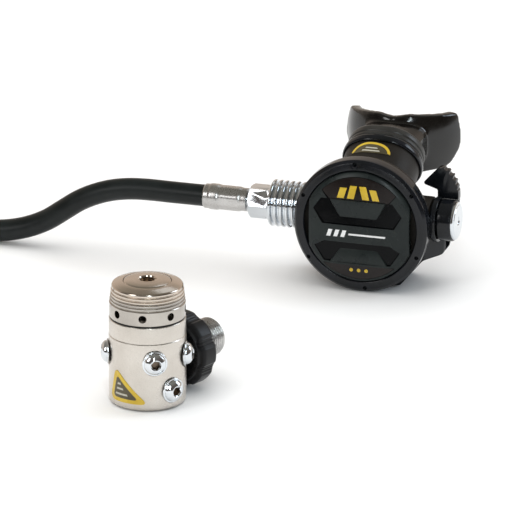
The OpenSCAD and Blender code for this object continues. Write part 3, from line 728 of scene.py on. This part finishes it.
def make_body_badge():
    """A yellow rounded triangle with an olive field, and plain bars as a stand-in mark."""
    turn = -124
    triangle = [(-12.8, 4.6), (14.2, 4.6), (-7.8, 25.2)]
    outer = soft(triangle, 5.2, 10)
    inner = soft(scaled(triangle, 0.66, -3.4, 11.6), 3, 8)
    place("badge_rim", *on_cylinder(outer, BODY_R + 0.02, 0.28, turn), WORLD, "badge_yellow",
          "first_stage_badge")
    place("badge_field", *on_cylinder(inner, BODY_R + 0.2, 0.16, turn), WORLD, "badge_brown",
          "first_stage_badge")
    for i, (x0, x1, z) in enumerate([(-7.6, 1.6, 8.8), (-6.6, -1.4, 12.0), (-5.9, -3.1, 15.0)]):
        bar = [(x0, z), (x1, z), (x1 - 0.5, z + 1.1), (x0 + 0.4, z + 1.1)]
        place(f"badge_bar_{i}", *on_cylinder(bar, BODY_R + 0.3, 0.12, turn), WORLD, "badge_light",
              "first_stage_badge")


def rim_shape(a, r, z):
    """The handwheel's rim: eight smooth lobes, and three grooves beside each."""
    if r < 19:
        return r
    lobe = 0.5 + 0.5 * math.cos(8 * a)
    low = max(0.0, 1 - lobe * 2.2)
    groove = low * (0.5 + 0.5 * math.cos(72 * a))
    return r - 0.9 * low - 0.55 * groove


def make_handwheel():
    body = "handwheel"
    z0, z1 = 22.9, 38.0
    profile = soft([(12.05, z0 + 0.1), (18.6, z0 + 0.1), (19.2, z0 + 1.4), (21.2, z0 + 2),
                    (22.3, z0 + 2.8), (22.45, z0 + 4), (22.45, z1 - 3.2), (21.8, z1 - 2),
                    (20.2, z1), (18.4, z1 - 0.2), (17.6, z1 - 1.6), (14.6, z1 - 1.9),
                    (14, z1 - 0.2), (12.05, z1 - 0.1)], 0.5, 3)
    place("handwheel_skin", *lathe(profile, 576, closed=True, shape=rim_shape), DIN,
          "wheel_black", "handwheel", body, sharp=40)
    ribs = []
    for i in range(48):
        where = DIN @ turned("Z", 360 * i / 48)
        ribs.append(block(12.8, 18.2, -0.28, 0.28, z0 - 0.25, z0 + 0.6, where))
    named(joined(ribs), "handwheel_ribs", "wheel_black", "handwheel", body)


def make_connector():
    body = "handwheel"
    rings = thread_rings(11.42, DIN_PITCH, 1.1, 37.2, 57, 96, 10, 1.0)
    rings += [circle(7.75, 57, 96), circle(7.75, 37.2, 96)]
    threaded = part(*loft(rings + rings[:1], capped=False), DIN)
    combine(threaded, [rod(9.4, 53.5, 60, DIN, 96)])
    named(threaded, "connector_thread", "satin_steel", "din_connector", body, sharp=50)
    hub = soft([(7.72, 22.9), (12, 22.9), (12, 37.6), (11.2, 38.2), (7.72, 38.2)], 0.3, 2)
    place("connector_hub", *lathe(hub, 96, closed=True), DIN, "satin_steel", "din_connector",
          body)
    stem = [(2.5, 14.2), (7.55, 14.2), (7.55, 53.9), (9.1, 54), (9.2, 54.4), (9.2, 56.9),
            (8.95, 57.2), (8.2, 57.2), (8.1, 56.3), (6.3, 56.3), (6.2, 57.2), (5.3, 57.2),
            (5.05, 56.9), (5.05, 50), (2.5, 50)]
    place("connector_stem", *lathe(soft(stem, 0.12, 1), 96, closed=True), DIN, "satin_steel",
          "din_stem")
    place("connector_oring", *ring_of(7.2, 0.68, 56.98, 96, 14), DIN, "seal_black",
          "din_oring")


make_body()
make_clamp()
make_spring_chamber()
make_dome()
make_adjuster()
for number, where in enumerate(LP_PORTS):
    make_plug(f"port_plug_{number}", where, 4.76, "lp_port_plugs")
make_plug("high_pressure_plug_skin", HP_PORT, 5.5, "high_pressure_plug")
make_body_badge()
make_handwheel()
make_connector()


# ------------------------------------------------------------ second stage
NECK_R, NECK_FLAT = 19.5, 3.5


def stadium(r, flat=NECK_FLAT, steps=96):
    """The mouth tube's outline: two half circles joined by short flats."""
    out = []
    for i in range(steps):
        a = TURN * (i + 0.5) / steps
        out.append((math.copysign(flat, math.cos(a)) + r * math.cos(a), r * math.sin(a)))
    return out


def stadium_ring(profile, steps=144):
    """A closed outline of (radius, z) swept round the mouth tube's outline."""
    rings = [stadium(r, NECK_FLAT, steps) for r, _ in profile]
    return swept([[(*ring[i], z) for ring, (_, z) in zip(rings, profile)] for i in range(steps)],
                 True)


def melted(obj, voxel, smoothing):
    """Fuses overlapping solids into one skin and rounds it, in voxels of a size in millimetres."""
    remesh = obj.modifiers.new("remesh", "REMESH")
    remesh.mode = "VOXEL"
    remesh.voxel_size = voxel * MM
    smooth = obj.modifiers.new("smooth", "SMOOTH")
    smooth.factor = 0.5
    smooth.iterations = smoothing
    settle(obj)
    return obj


def make_housing():
    """The bowl, the mouth tube and the two bosses of the valve, fused with soft fillets."""
    bowl = [(0, 9), (37.5, 9), (37.5, 10.4), (38.6, 10.4), (38.6, 15.8), (36.4, 20.6), (33.2, 26),
            (30.2, 30.2), (26.6, 35.6), (21, 39.6), (14, 41.4), (0, 41.4)]
    solids = [
        part(*lathe(rows(bowl, 3), 160), DEPTH),
        part(*prism(stadium(NECK_R), 0, 33), NECK),
        rod(13.2, -39.4, -19, VALVE, 96),
        rod(13.2, 20, 39.0, VALVE, 96),
        rod(10.8, -4, 1, EXHAUST, 64),
    ]
    shell = melted(joined(solids), 0.8, 9)
    hollow = [(0, 6), (36, 6), (36, 15.4), (28, 28.6), (24.4, 34), (19.8, 37.4), (13.4, 38.9),
              (0, 38.9)]
    rim = [(37.62, 4), (60, 4), (60, 10.15), (37.62, 10.15)]
    combine(shell, [
        part(*lathe(hollow, 128), DEPTH),
        part(*prism(stadium(16.9), 6, 40), NECK),
        part(*lathe(rim, 128, closed=True), DEPTH),
    ])
    combine(shell, [rod(7.05, -45, -5, VALVE, 64), rod(9.3, 10, 50, VALVE, 64)])
    named(shell, "housing_skin", "black_matte", "housing", sharp=40)


def make_ring():
    profile = soft([(34.4, 0.75), (35.1, 0.02), (39.2, 0.02), (40.97, 1.8), (40.97, 9.2),
                    (40.4, 9.95), (37.65, 9.95), (37.65, 7.6), (36.2, 7.6), (36.2, 2), (34.4, 2)],
                   0.35, 3)
    ring = part(*lathe(rows(profile + [profile[0]], 2.5), 240), DEPTH)
    cutters = []
    for i in range(6):
        a = math.radians(35 + 60 * i)
        hole = DEPTH @ moved(38.5 * math.cos(a), -38.5 * math.sin(a), 0)
        cutters.append(rod(1.25, -1, 3.2, hole, 32))
        if i == 1:
            for side in (-1, 1):
                notch = hole @ turned("Z", -math.degrees(a)) @ turned("Z", 26 * side)
                cutters.append(block(-4.5, 3, side * 2.3 - 0.14, side * 2.3 + 0.14, -1, 0.3,
                                     notch))
    combine(ring, cutters)
    named(ring, "cover_ring_skin", "black_gloss", "cover_ring", sharp=30)


FACE = [(0, -3.6), (8, -3.57), (14, -3.48), (20, -3.3), (25, -2.98), (29, -2.45), (31.5, -1.85),
        (33.2, -1.1), (33.85, -0.55), (34, 0.0)]
POCKET_TOP = [(-23.5, 17), (-28.5, 10), (-22.2, 1.2), (22, 1.2), (27, 9), (21, 17)]
POCKET_LOW = [(-28, -13), (-21, -9.5), (19, -9.5), (26, -13.5), (20, -22.5), (-22, -22.5)]
TONGUE_TOP = [(-17.5, 16.6), (16.5, 16.6), (9.5, 3.4), (-10.5, 3.4)]
TONGUE_LOW = [(-11, -13.3), (11, -13.3), (17.5, -22.9), (-17.5, -22.9)]


def face_at(r):
    for (r0, y0), (r1, y1) in zip(FACE, FACE[1:]):
        if r <= r1:
            return y0 + (y1 - y0) * (r - r0) / (r1 - r0)
    return FACE[-1][1]


def shrunk(outline, by):
    """The outline with each corner moved inward by about that much."""
    cx = sum(p[0] for p in outline) / len(outline)
    cz = sum(p[1] for p in outline) / len(outline)
    out = []
    for x, z in outline:
        away = math.hypot(x - cx, z - cz)
        out.append((x - (x - cx) * by / away, z - (z - cz) * by / away))
    return out


def lens_outline(r, edge, half_width, mirror=1):
    """A window: an arc of the button's own curve over a straight edge."""
    reach = min(half_width, math.sqrt(r * r - edge * edge))
    start = math.degrees(math.acos(reach / r))
    top = arc(0, 0, r, start, 180 - start, 28)
    points = [(reach - 4.5, edge)] + top + [(-reach + 4.5, edge)]
    return [(x, z * mirror) for x, z in soft(points, 1.2, 3)]


def pocket(outline, floor_from, floor_to):
    """A cutter whose floor slopes from one depth at its lowest z to another at its highest."""
    inner = shrunk(outline, 1.1)
    low, high = min(z for _, z in inner), max(z for _, z in inner)
    verts = [(x, -7, z) for x, z in outline] + [(x, -3.2, z) for x, z in outline]
    for x, z in inner:
        verts.append((x, floor_from + (floor_to - floor_from) * (z - low) / (high - low), z))
    n = len(outline)
    faces = [tuple(range(n))]
    for level in (0, n):
        faces += [(level + i, level + (i + 1) % n, level + n + (i + 1) % n, level + n + i)
                  for i in range(n)]
    faces.append(tuple(range(2 * n, 3 * n)))
    return verts, faces


def make_button():
    body = "purge_button"
    back = [(34, 2.4), (35.6, 2.45), (35.6, 3.15), (32, 3.2), (31, 1), (4, 1), (4, 7.45), (0, 7.45)]
    button = part(*lathe(rows(FACE + back, 2.5), 192), DEPTH)
    button.data.materials.append(MAT["button_grey"])
    # The cut faces of the pockets and windows take the near-black copy: painted shade in these
    # recesses
    dark = []
    for outline, floor in ((POCKET_TOP, (-2.1, -1.3)), (POCKET_LOW, (-1.3, -2.1))):
        dark.append(part(*pocket(outline, *floor), SECOND))
    for r, edge, side in ((31.6, 16.2, 1), (32.4, 23.6, -1)):
        dark.append(part(*slab(lens_outline(r, edge, 23, side), -7, -1.15), SECOND))
    for cutter in dark:
        cutter.data.materials.append(MAT["button_recess_shade"])
        modifier = button.modifiers.new("cut", "BOOLEAN")
        modifier.operation = "DIFFERENCE"
        modifier.solver = "EXACT"
        modifier.material_mode = "TRANSFER"
        modifier.object = cutter
    settle(button)
    for cutter in dark:
        bpy.data.objects.remove(cutter)
    sides = [part(*slab([(s * 30.8, -18), (s * 38, -18), (s * 38, 18), (s * 30.8, 18)][::s],
                        -6, 6), SECOND) for s in (-1, 1)]
    for cutter in sides:
        cutter.data.materials.append(MAT["button_grey"])
    combine(button, sides)
    button.name = button.data.name = "purge_button_skin"
    tidy(button, 20)
    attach(button, body)
    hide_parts("purge_button")
    for name, outline, high, low in (("top", TONGUE_TOP, -3.0, -1.6),
                                     ("low", TONGUE_LOW, -1.8, -2.7)):
        n = len(outline)
        zs = [z for _, z in outline]
        slope = [high + (low - high) * (max(zs) - z) / (max(zs) - min(zs)) for z in zs]
        verts = [(x, y, z) for (x, z), y in zip(outline, slope)]
        verts += [(x * 1.04, -0.9, z) for x, z in outline]
        faces = [tuple(range(n)), tuple(range(n, 2 * n))[::-1]]
        faces += [(i, (i + 1) % n, n + (i + 1) % n, n + i) for i in range(n)]
        tongue = part(verts, faces, SECOND)
        bevelled(tongue, 0.35)
        named(tongue, f"button_tongue_{name}", "button_grey", "purge_button", body, sharp=25)


def plate(name, outline, y0, y1, material, node):
    """A thin flat piece that rides on the button."""
    named(part(*slab(outline, y0, y1), SECOND), name, material, node, "purge_button", sharp=40)


def slanted(x, z, width, height, lean):
    """A bar's outline, whose top is shifted to the right by lean."""
    return [(x, z), (x + width, z), (x + width + lean, z + height), (x + lean, z + height)]


def make_windows():
    top = "button_window_top"
    plate("window_top_plate", lens_outline(31.3, 16.45, 22.6), -1.9, -1.16, "window_brown", top)
    for i, (x, z, w, h) in enumerate([(-13.5, 17.6, 4.2, 6.6), (-7.3, 17.6, 4.2, 8.2),
                                      (2.2, 17.6, 4.2, 8.2), (8.4, 17.6, 4.2, 6.6)]):
        lean = 2.0 if x < 0 else -2.0
        plate(f"window_bar_{i}", slanted(x, z, w, h, lean), -2.02, -1.88, "badge_yellow", top)
    low = "button_window_bottom"
    plate("window_low_plate", lens_outline(32.1, 23.85, 22.6, -1), -1.8, -1.16, "window_brown",
          low)
    for i in range(3):
        x = -4.6 + 4.6 * i
        dot = [(x + 1.1 * math.cos(TURN * k / 20), -26.9 + 1.1 * math.sin(TURN * k / 20))
               for k in range(20)]
        plate(f"window_dot_{i}", dot, -1.92, -1.78, "badge_yellow", low)
    for i, (x, w) in enumerate([(-19.5, 2.4), (-15.2, 2.4), (-10.9, 2.4)]):
        outline = slanted(x, -6.2, w, 4.2, 1.4)
        y = face_at(12)
        plate(f"face_mark_{i}", outline, y - 0.14, y + 0.2, "white_print", "purge_button")
    line = slanted(-6, -4.7, 22.5, 1.1, 0.35)
    plate("face_mark_line", line, -3.72, -3.3, "white_print", "purge_button")


def make_knob():
    body = "adjust_knob"
    profile = soft([(2.6, 43.85), (11.6, 43.85), (12.28, 44.5), (12.28, 51.8), (11.9, 52.45),
                    (11.5, 52.5), (11.5, 51.85), (2.6, 51.85)], 0.35, 3)
    place("knob_skin", *lathe(rows(profile + [profile[0]], 2.5), 192), VALVE, "black_gloss",
          "adjust_knob", body, sharp=40)
    cap_profile = rows([(0, 51.9), (11.38, 51.9), (11.38, 53.3), (11.1, 53.75), (10.4, 54.1),
                        (9.9, 54.15), (9.6, 54.4), (2.9, 54.42), (0, 54.42)], 2.5)
    cap = part(*lathe(cap_profile, 128), VALVE)
    combine(cap, [part(*prism(polygon(6, 2.3), 52.8, 56), VALVE),
                  part(*lathe([(0, 54), (2.4, 54), (2.9, 54.7), (0, 54.7)], 48), VALVE)])
    named(cap, "knob_cap_skin", "chrome", "knob_cap", body, sharp=30)


PADDLE = [(39.7, 6.2), (51.5, 6.2), (52.4, 13), (52.2, 19), (50.2, 25.3), (46.7, 29.6),
          (42.5, 31.6), (39.7, 30.7), (31.2, 21.6), (31.7, 20.2), (39.7, 17.6)]


def make_venturi_lever():
    """The hub round the valve, its flange, and the paddle with a scalloped edge."""
    body = "venturi_lever"
    hub = soft([(7.3, 18), (9, 18), (9, 39.45), (11.4, 39.45), (11.4, 40.35), (13.2, 40.35),
                (13.5, 40.7), (13.5, 43), (13.2, 43.38), (7.3, 43.38)], 0.3, 2)
    lever = part(*lathe(hub, 160, closed=True), VALVE)
    paddle = part(*slab(soft(PADDLE, 1.0, 3), 28.6, 33.7), SECOND)
    combine(paddle, [rod(12.95, 43.35, 60, VALVE, 120)])
    bevelled(paddle, 0.7, 3, 40)
    scallops = []
    for x, z in [(53.6, 11.6), (53.9, 15.2), (53.2, 18.8), (52.1, 22.3), (50.3, 25.6), (48, 28.5),
                 (45.0, 31.4)]:
        where = SECOND @ moved(x, 26, z) @ turned("X", -90)
        scallops.append(part(*lathe([(0, 0), (1.6, 0), (1.4, 5), (1.6, 10), (0, 10)], 32), where))
    combine(paddle, scallops)
    combine(lever, [paddle], "UNION")
    named(lever, "venturi_lever_skin", "black_gloss", "venturi_lever", body, sharp=30)


def make_exhaust_tee():
    """The cover that turns the exhaled air to both sides, in wings that taper back."""
    outline = [(-45.8, -12.1), (-43, -23.1), (-34, -23.9), (-20, -40.9), (20, -40.9), (34, -23.9),
               (43, -23.1), (45.8, -12.1)]
    plan = [(-34, 17.1), (34, 17.1), (44, 31), (45.8, 42.9), (-45.8, 42.9), (-44, 31)]
    tee = part(*slab(soft(outline, 1.6, 3), 10, 50), SECOND)
    combine(tee, [part(*prism(soft(plan, 1.6, 3), -60, 10), SECOND)], "INTERSECT")
    bevelled(tee, 1.1, 3, 40)
    inside = [(-52, -14), (-52, -21.2), (-33, -21.9), (-19, -39.2), (19, -39.2), (33, -21.9),
              (52, -21.2), (52, -14)]
    inner_plan = [(-33, 19), (33, 19), (42, 31.6), (60, 31.6), (60, 41), (-60, 41), (-60, 31.6),
                  (-42, 31.6)]
    cavity = part(*slab(inside, 10, 50), SECOND)
    combine(cavity, [part(*prism(inner_plan, -60, 10), SECOND)], "INTERSECT")
    bowl = rows([(0, 9), (38.75, 9), (38.75, 16), (30.55, 30), (26.65, 36), (21.1, 40.1),
                 (14, 41.65), (0, 41.65)], 3)
    combine(tee, [cavity, part(*lathe(bowl, 160), DEPTH),
                  part(*slab([(-22, -20.5), (22, -20.5), (22, 0), (-22, 0)], 12, 52), SECOND)])
    named(tee, "exhaust_tee_skin", "black_gloss", "exhaust_tee", sharp=30)


MOUTH_X, MOUTH_Z, MOUTH_Y = 20, (13.6, 41.6), 78     # the mouth end of the tube
ARC_Y, ARC_R = 107.3, 29.9                           # centre and inner radius of the flange


def rounded_box_ring(half_x, z0, z1, squareness, count):
    """Points round a box with round corners, starting at its right side and going up."""
    cz, half_z = (z0 + z1) / 2, (z1 - z0) / 2
    power = 2 / squareness          # 1 makes an ellipse, less makes it squarer
    out = []
    for i in range(count):
        a = TURN * (i + 0.5) / count
        c, s = math.cos(a), math.sin(a)
        out.append((half_x * math.copysign(abs(c) ** power, c),
                    cz + half_z * math.copysign(abs(s) ** power, s)))
    return out


def mouth_tube(r, flat, half_x, z0, z1, start, end_y, waist, steps=10, count=96):
    """A loft from the mouth tube's outline to the box at the lips."""
    neck_to_local = SECOND.inverted() @ NECK
    first = [neck_to_local @ (Vector((x, -y, start)) * MM) / MM
             for x, y in stadium(r, flat, count)]
    last = [Vector((x, end_y, z)) for x, z in rounded_box_ring(half_x, z0, z1, 3.2, count)]
    middle_a = sum(first, Vector()) / count
    middle_b = sum(last, Vector()) / count
    rings = []
    for i in range(steps + 1):
        t = i / steps
        blend = t * t * (3 - 2 * t)
        centre = middle_a.lerp(middle_b, t)
        squeeze = 1 - waist * math.sin(math.pi * t)
        ring = []
        for a, b in zip(first, last):
            offset = (a - middle_a).lerp(b - middle_b, blend) * squeeze
            ring.append(centre + offset)
        rings.append(ring)
    return rings


FLANGE = [(-38.4, 39.8), (-30, 41.2), (-20, 43.2), (-10, 44.8), (-1.5, 43.4), (7, 45.3), (20, 44.4),
          (29, 43.4), (36.4, 42.6), (36.6, 21), (30, 10.8), (18, 9.4), (0, 9.0), (-18, 9.2),
          (-31, 10.6), (-38.4, 20)]
CORNER_RADII = {8: 3.2, 9: 9.0, 15: 9.0, 0: 1.0}     # of FLANGE's corners; 3 for the others


def flared(v):
    """Widens the flange's left end at half height."""
    x, y, z = v
    swell = math.exp(-((z - 24) / 8.5) ** 2)
    return (x * (1 + 0.05 * swell) if x < 0 else x, y, z)


def pillowed(obj, where):
    """Swells the flange's outer face between its upper and lower edges."""
    bm = bmesh.new()
    bm.from_mesh(obj.data)
    for z in range(10, 45, 2):
        geometry = bm.verts[:] + bm.edges[:] + bm.faces[:]
        bmesh.ops.bisect_plane(bm, geom=geometry, plane_co=where @ (Vector((0, 0, z)) * MM),
                               plane_no=where.to_3x3() @ Vector((0, 0, 1)))
    back = where.inverted()
    for v in bm.verts:
        x, y, z = (back @ v.co) / MM
        out = math.hypot(x, y)
        if out > ARC_R + 2:
            swell = 1 + 2.8 * max(0.0, 1 - ((z - 27) / 17) ** 2) / out
            v.co = where @ (Vector((x * swell, y * swell, z)) * MM)
    bm.to_mesh(obj.data)
    bm.free()
    return obj


def make_mouthpiece():
    outline = []
    for i, p in enumerate(FLANGE):
        before, after = FLANGE[i - 1], FLANGE[(i + 1) % len(FLANGE)]
        radius = CORNER_RADII.get(i, 3.0)
        outline += soft([before, p, after], radius, 4)[5:10]
    verts, faces = on_cylinder(outline, ARC_R - 0.8, 5.0, -90)
    verts = [flared(v) for v in verts]
    arc_centre = SECOND @ moved(0, ARC_Y, 0)
    sheet = pillowed(part(verts, faces, arc_centre), arc_centre)
    tube_rings = mouth_tube(17, NECK_FLAT, MOUTH_X, *MOUTH_Z, 33.4, MOUTH_Y, 0.03)
    tube_rings.append([p + Vector((0, 9, 0)) for p in tube_rings[-1]])
    tube = part(*loft(tube_rings), SECOND)
    combine(tube, [rod(ARC_R - 0.4, 0, 60, arc_centre, 96)])
    pieces = [sheet, tube]
    for side in (-1, 1):
        lug = part(*slab([(side * 19 - 3.6, 22), (side * 19 + 3.6, 22),
                          (side * 19 + 3.6, 33), (side * 19 - 3.6, 33)], 82.6, 93.9), SECOND)
        pieces.append(bevelled(lug, 1.4, 3))
    skin = melted(joined(pieces), 0.7, 16)
    air = mouth_tube(14, NECK_FLAT, 15, 21.5, 34.5, 30, 92, 0.0)
    combine(skin, [part(*loft(air), SECOND)])
    named(skin, "mouthpiece_skin", "mouth_silicone", "mouthpiece", sharp=80)


def make_collar_and_tie():
    collar = soft([(17.12, 35.6), (19.4, 35.6), (20.05, 36.2), (20.05, 37.6), (19.5, 38.3),
                   (19.5, 38.7), (20.08, 39.4), (20.08, 42.3), (19.6, 43.45), (17.12, 43.45)],
                  0.4, 3)
    place("mouthpiece_collar_skin", *stadium_ring(collar), NECK, "collar_grey",
          "mouthpiece_collar", sharp=60)
    tie = soft([(19.56, 30.05), (20.5, 30.05), (21.08, 31), (21.08, 33.6), (20.5, 34.9),
                (19.56, 34.9)], 0.5, 4)
    place("mouthpiece_tie_skin", *stadium_ring(tie), NECK, "black_gloss",
          "mouthpiece_tie", sharp=60)
    head = part(*prism([(-3.4, 20.2), (3.4, 20.2), (3.4, 21.05), (-3.4, 21.05)], 30.4, 34.6),
                NECK @ turned("Z", 180))
    named(bevelled(head, 0.25), "mouthpiece_tie_lock", "black_gloss", "mouthpiece_tie")


def on_neck_skin(outline, lift, thick):
    """A flat outline (x, z) laid on the upper side of the mouth tube."""
    nearly_flat, side = 1000, -2.2      # side moves the badge along x
    verts, faces = on_cylinder(outline, nearly_flat, thick, 0)
    out = []
    for vx, vy, z in verts:
        across = math.atan2(vy, vx) * nearly_flat + side
        rise = math.hypot(vx, vy) - nearly_flat
        r = NECK_R + lift + rise
        if abs(across) <= NECK_FLAT:
            x, up = across, r
        else:
            a = (abs(across) - NECK_FLAT) / NECK_R
            x, up = math.copysign(NECK_FLAT + r * math.sin(a), across), r * math.cos(a)
        out.append((x, -up, z))
    return out, faces


def make_neck_badge():
    """A half disc near the ring: a yellow arc round an olive field with a plain bar."""
    base, squat = 20.4, 0.7
    outer = [(x, base + squat * z) for x, z in arc(0, 0, 12.2, 0, 180, 36)]
    place("neck_badge_field", *on_neck_skin(outer, 0.06, 0.2), NECK, "badge_brown",
          "neck_badge")
    outside = [(x, base + squat * z) for x, z in arc(0, 0, 12.1, 3, 177, 36)]
    inside = [(x, base + squat * z) for x, z in arc(0, -0.8, 10.6, 170, 10, 36)]
    place("neck_badge_arc", *on_neck_skin(outside + inside, 0.26, 0.12), NECK, "badge_yellow",
          "neck_badge")
    for i, (half, z) in enumerate([(5.6, 1.2), (3.8, 3.4)]):
        bar = [(-half, base + z), (half, base + z), (half - 0.5, base + z + 0.9),
               (-half + 0.5, base + z + 0.9)]
        place(f"neck_badge_bar_{i}", *on_neck_skin(bar, 0.26, 0.1), NECK, "badge_light",
              "neck_badge")


def make_heat_exchanger():
    fins = 6
    profile = [(4.6, -67.6), (6.5, -67.6), (6.5, -60.2), (11.6, -60.2)]
    for i in range(fins):
        z = -60.2 + 3.6 * i
        profile += [(11.6, z + 0.02), (12.9, z + 0.1), (13.8, z + 0.5), (14.15, z + 1.3),
                    (13.8, z + 2.1), (12.9, z + 2.5), (11.6, z + 2.58)]
    profile += [(9.8, -39.7), (7.1, -39.7), (7.1, -46.1), (4.6, -46.1)]
    place("heat_exchanger_skin", *lathe(soft(profile, 0.3, 2), 144, closed=True), VALVE,
          "chrome", "heat_exchanger", sharp=45)


def make_swivel_nut():
    nut = shifted(hexagon(10.4 * math.sqrt(3), -73.45, -60.35, 1.3), VALVE @ turned("Z", 30))
    groove = lathe([(10.6, -62.9), (9.6, -62.9), (9.6, -62.3), (10.6, -62.3)], 96, closed=True)
    combine(nut, [rod(6.6, -72.5, -58, VALVE), rod(5.4, -75, -70, VALVE),
                  part(*groove, VALVE)])
    named(nut, "swivel_nut_skin", "chrome", "hose_swivel_nut", "hose_swivel_nut", sharp=25)


def make_coil(name, where, r, wire, z0, z1, turns, node):
    """A round-wire compression spring between two heights."""
    per_turn, around = 28, 10
    count = int(turns * per_turn)
    rings = []
    for i in range(count + 1):
        a = TURN * i / per_turn
        z = z0 + wire + (z1 - z0 - 2 * wire) * i / count
        rings.append([((r + x) * math.cos(a), (r + x) * math.sin(a), z + y)
                      for x, y, _ in circle(wire, 0, around)])
    return place(name, *loft(rings), where, "spring_steel", node, sharp=60)


make_housing()
make_ring()
make_button()
make_windows()
make_knob()
make_venturi_lever()
make_exhaust_tee()
make_mouthpiece()
make_collar_and_tie()
make_neck_badge()
make_heat_exchanger()
make_swivel_nut()
make_ferrule("hose_ferrule_skin", HOSE_END, "hose_ferrule")


def pressed(coil):
    """Gives the coil a mesh of its own; its length stays as made."""
    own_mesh(coil)


pressed(make_coil("purge_coil", DEPTH, 6.5, 0.4, 1.05, 6.45, 3.5, "purge_spring"))
pressed(make_coil("valve_coil", VALVE, 3.6, 0.45, 12.6, 25.4, 7, "poppet_spring"))
pressed(make_coil("main_coil", WORLD, 9.5, 1.5, 44.7, 57.2, 3.2, "main_spring"))
pressed(make_coil("high_pressure_coil", WORLD, 4.3, 0.48, 8, 14.2, 4.5,
                  "high_pressure_spring"))

# ------------------------------------------- CAD nodes that keep their shape
KEPT = {
    "spring_seat": "satin_steel", "spring_pad": "satin_steel",
    "first_stage_diaphragm": "seal_black", "lifter_pin": "satin_steel",
    "high_pressure_seat": "satin_steel", "high_pressure_valve": "satin_steel",
    "plug_orings": "seal_black", "inlet_filter": "bronze_filter", "cover_grille": "black_matte",
    "diaphragm": "diaphragm_silicone", "diaphragm_plate": "satin_steel",
    "demand_lever": "satin_steel", "lever_pin": "satin_steel", "valve_tube": "satin_steel",
    "orifice": "polished_nickel", "lp_seat": "seal_black", "poppet": "white_plastic",
    "adjust_plunger": "satin_steel", "venturi_vane": "black_gloss",
    "exhaust_valve": "diaphragm_silicone", "hose_stem": "chrome", "stem_oring": "seal_black",
}
for node, material in KEPT.items():
    mesh = nodes[node].data
    mesh.materials.clear()
    mesh.materials.append(MAT[material])


# --------------------------------------------------------- floor and light
def make_floor():
    mesh = bpy.data.meshes.new("floor")
    half, under = 3.0, -0.0003
    mesh.from_pydata([(-half, -half, under), (half, -half, under), (half, half, under),
                      (-half, half, under)], [], [(0, 1, 2, 3)])
    floor = bpy.data.objects.new("floor", mesh)
    bpy.context.scene.collection.objects.link(floor)
    material, tree, bsdf = shader("floor_white", (0.91, 0.91, 0.91), 0.7, spec=0.2)
    tint(tree, bsdf, noise(tree, 3), (0.90, 0.90, 0.90), (0.92, 0.92, 0.92))
    mesh.materials.append(material)
    floor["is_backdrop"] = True


def make_light(name, location, target, size, power, colour=(1, 1, 1)):
    data = bpy.data.lights.new(name, "AREA")
    data.shape = "RECTANGLE"
    data.size, data.size_y = size
    data.energy = power
    data.color = colour
    light = bpy.data.objects.new(name, data)
    bpy.context.scene.collection.objects.link(light)
    light.location = location
    away = Vector(target) - Vector(location)
    light.rotation_euler = away.to_track_quat("-Z", "Y").to_euler()


def ramp(tree, fac, stops):
    node = tree.nodes.new("ShaderNodeValToRGB")
    tree.links.new(fac, node.inputs["Fac"])
    elements = node.color_ramp.elements
    elements[0].position, elements[0].color = stops[0][0], (*stops[0][1], 1)
    elements[1].position, elements[1].color = stops[-1][0], (*stops[-1][1], 1)
    for position, colour in stops[1:-1]:
        elements.new(position).color = (*colour, 1)
    return node.outputs["Color"]


def make_world():
    """A room: warm and light behind the object, dim in front of it, a grey ceiling."""
    world = bpy.data.worlds.new("studio")
    bpy.context.scene.world = world
    world.use_nodes = True
    tree = world.node_tree
    coords = tree.nodes.new("ShaderNodeTexCoord")
    split = tree.nodes.new("ShaderNodeSeparateXYZ")
    tree.links.new(coords.outputs["Generated"], split.inputs["Vector"])
    back = ramp(tree, split.outputs["Z"], [(0.0, (0.66, 0.58, 0.50)), (0.36, (0.74, 0.63, 0.54)),
                                           (0.62, (0.40, 0.36, 0.31)), (0.9, (0.24, 0.23, 0.20))])
    front = ramp(tree, split.outputs["Z"], [(0.0, (0.10, 0.09, 0.08)), (0.45, (0.12, 0.10, 0.09)),
                                            (0.9, (0.24, 0.23, 0.20))])
    side = tree.nodes.new("ShaderNodeMapRange")
    side.interpolation_type = "SMOOTHSTEP"
    side.inputs["From Min"].default_value = -0.15
    side.inputs["From Max"].default_value = 0.35
    tree.links.new(split.outputs["Y"], side.inputs["Value"])
    mix = tree.nodes.new("ShaderNodeMixRGB")
    tree.links.new(side.outputs["Result"], mix.inputs["Fac"])
    tree.links.new(front, mix.inputs["Color1"])
    tree.links.new(back, mix.inputs["Color2"])
    tree.links.new(mix.outputs["Color"], tree.nodes["Background"].inputs["Color"])


def make_sun(name, tilt, turn, power, angle):
    data = bpy.data.lights.new(name, "SUN")
    data.energy = power
    data.angle = math.radians(angle)
    sun = bpy.data.objects.new(name, data)
    bpy.context.scene.collection.objects.link(sun)
    sun.rotation_euler = (math.radians(tilt), 0, math.radians(turn))
    sun.visible_glossy = False


make_floor()
make_world()
make_sun("sky", 8, 200, 2.35, 80)
first_stage = (0, 0, 0.05)
second_stage = (0.13, 0.2, 0.05)
make_light("strip", (0.16, -1.3, 0.75), first_stage, (0.12, 0.9), 5.5, (0.85, 0.96, 1.0))
make_light("box_left", (-1.1, -0.9, 0.9), second_stage, (0.5, 0.8), 6)
make_light("box_right", (1.5, 0.4, 0.8), second_stage, (0.5, 0.8), 7, (0.75, 0.87, 1.0))
make_light("box_top", (0.5, 1.2, 1.3), second_stage, (0.8, 0.5), 0.9, (0.8, 0.9, 1.0))
bpy.context.scene.view_settings.view_transform = "Standard"

[[list(map(float, corner)) for corner in box] for box in (cad_box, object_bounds())]
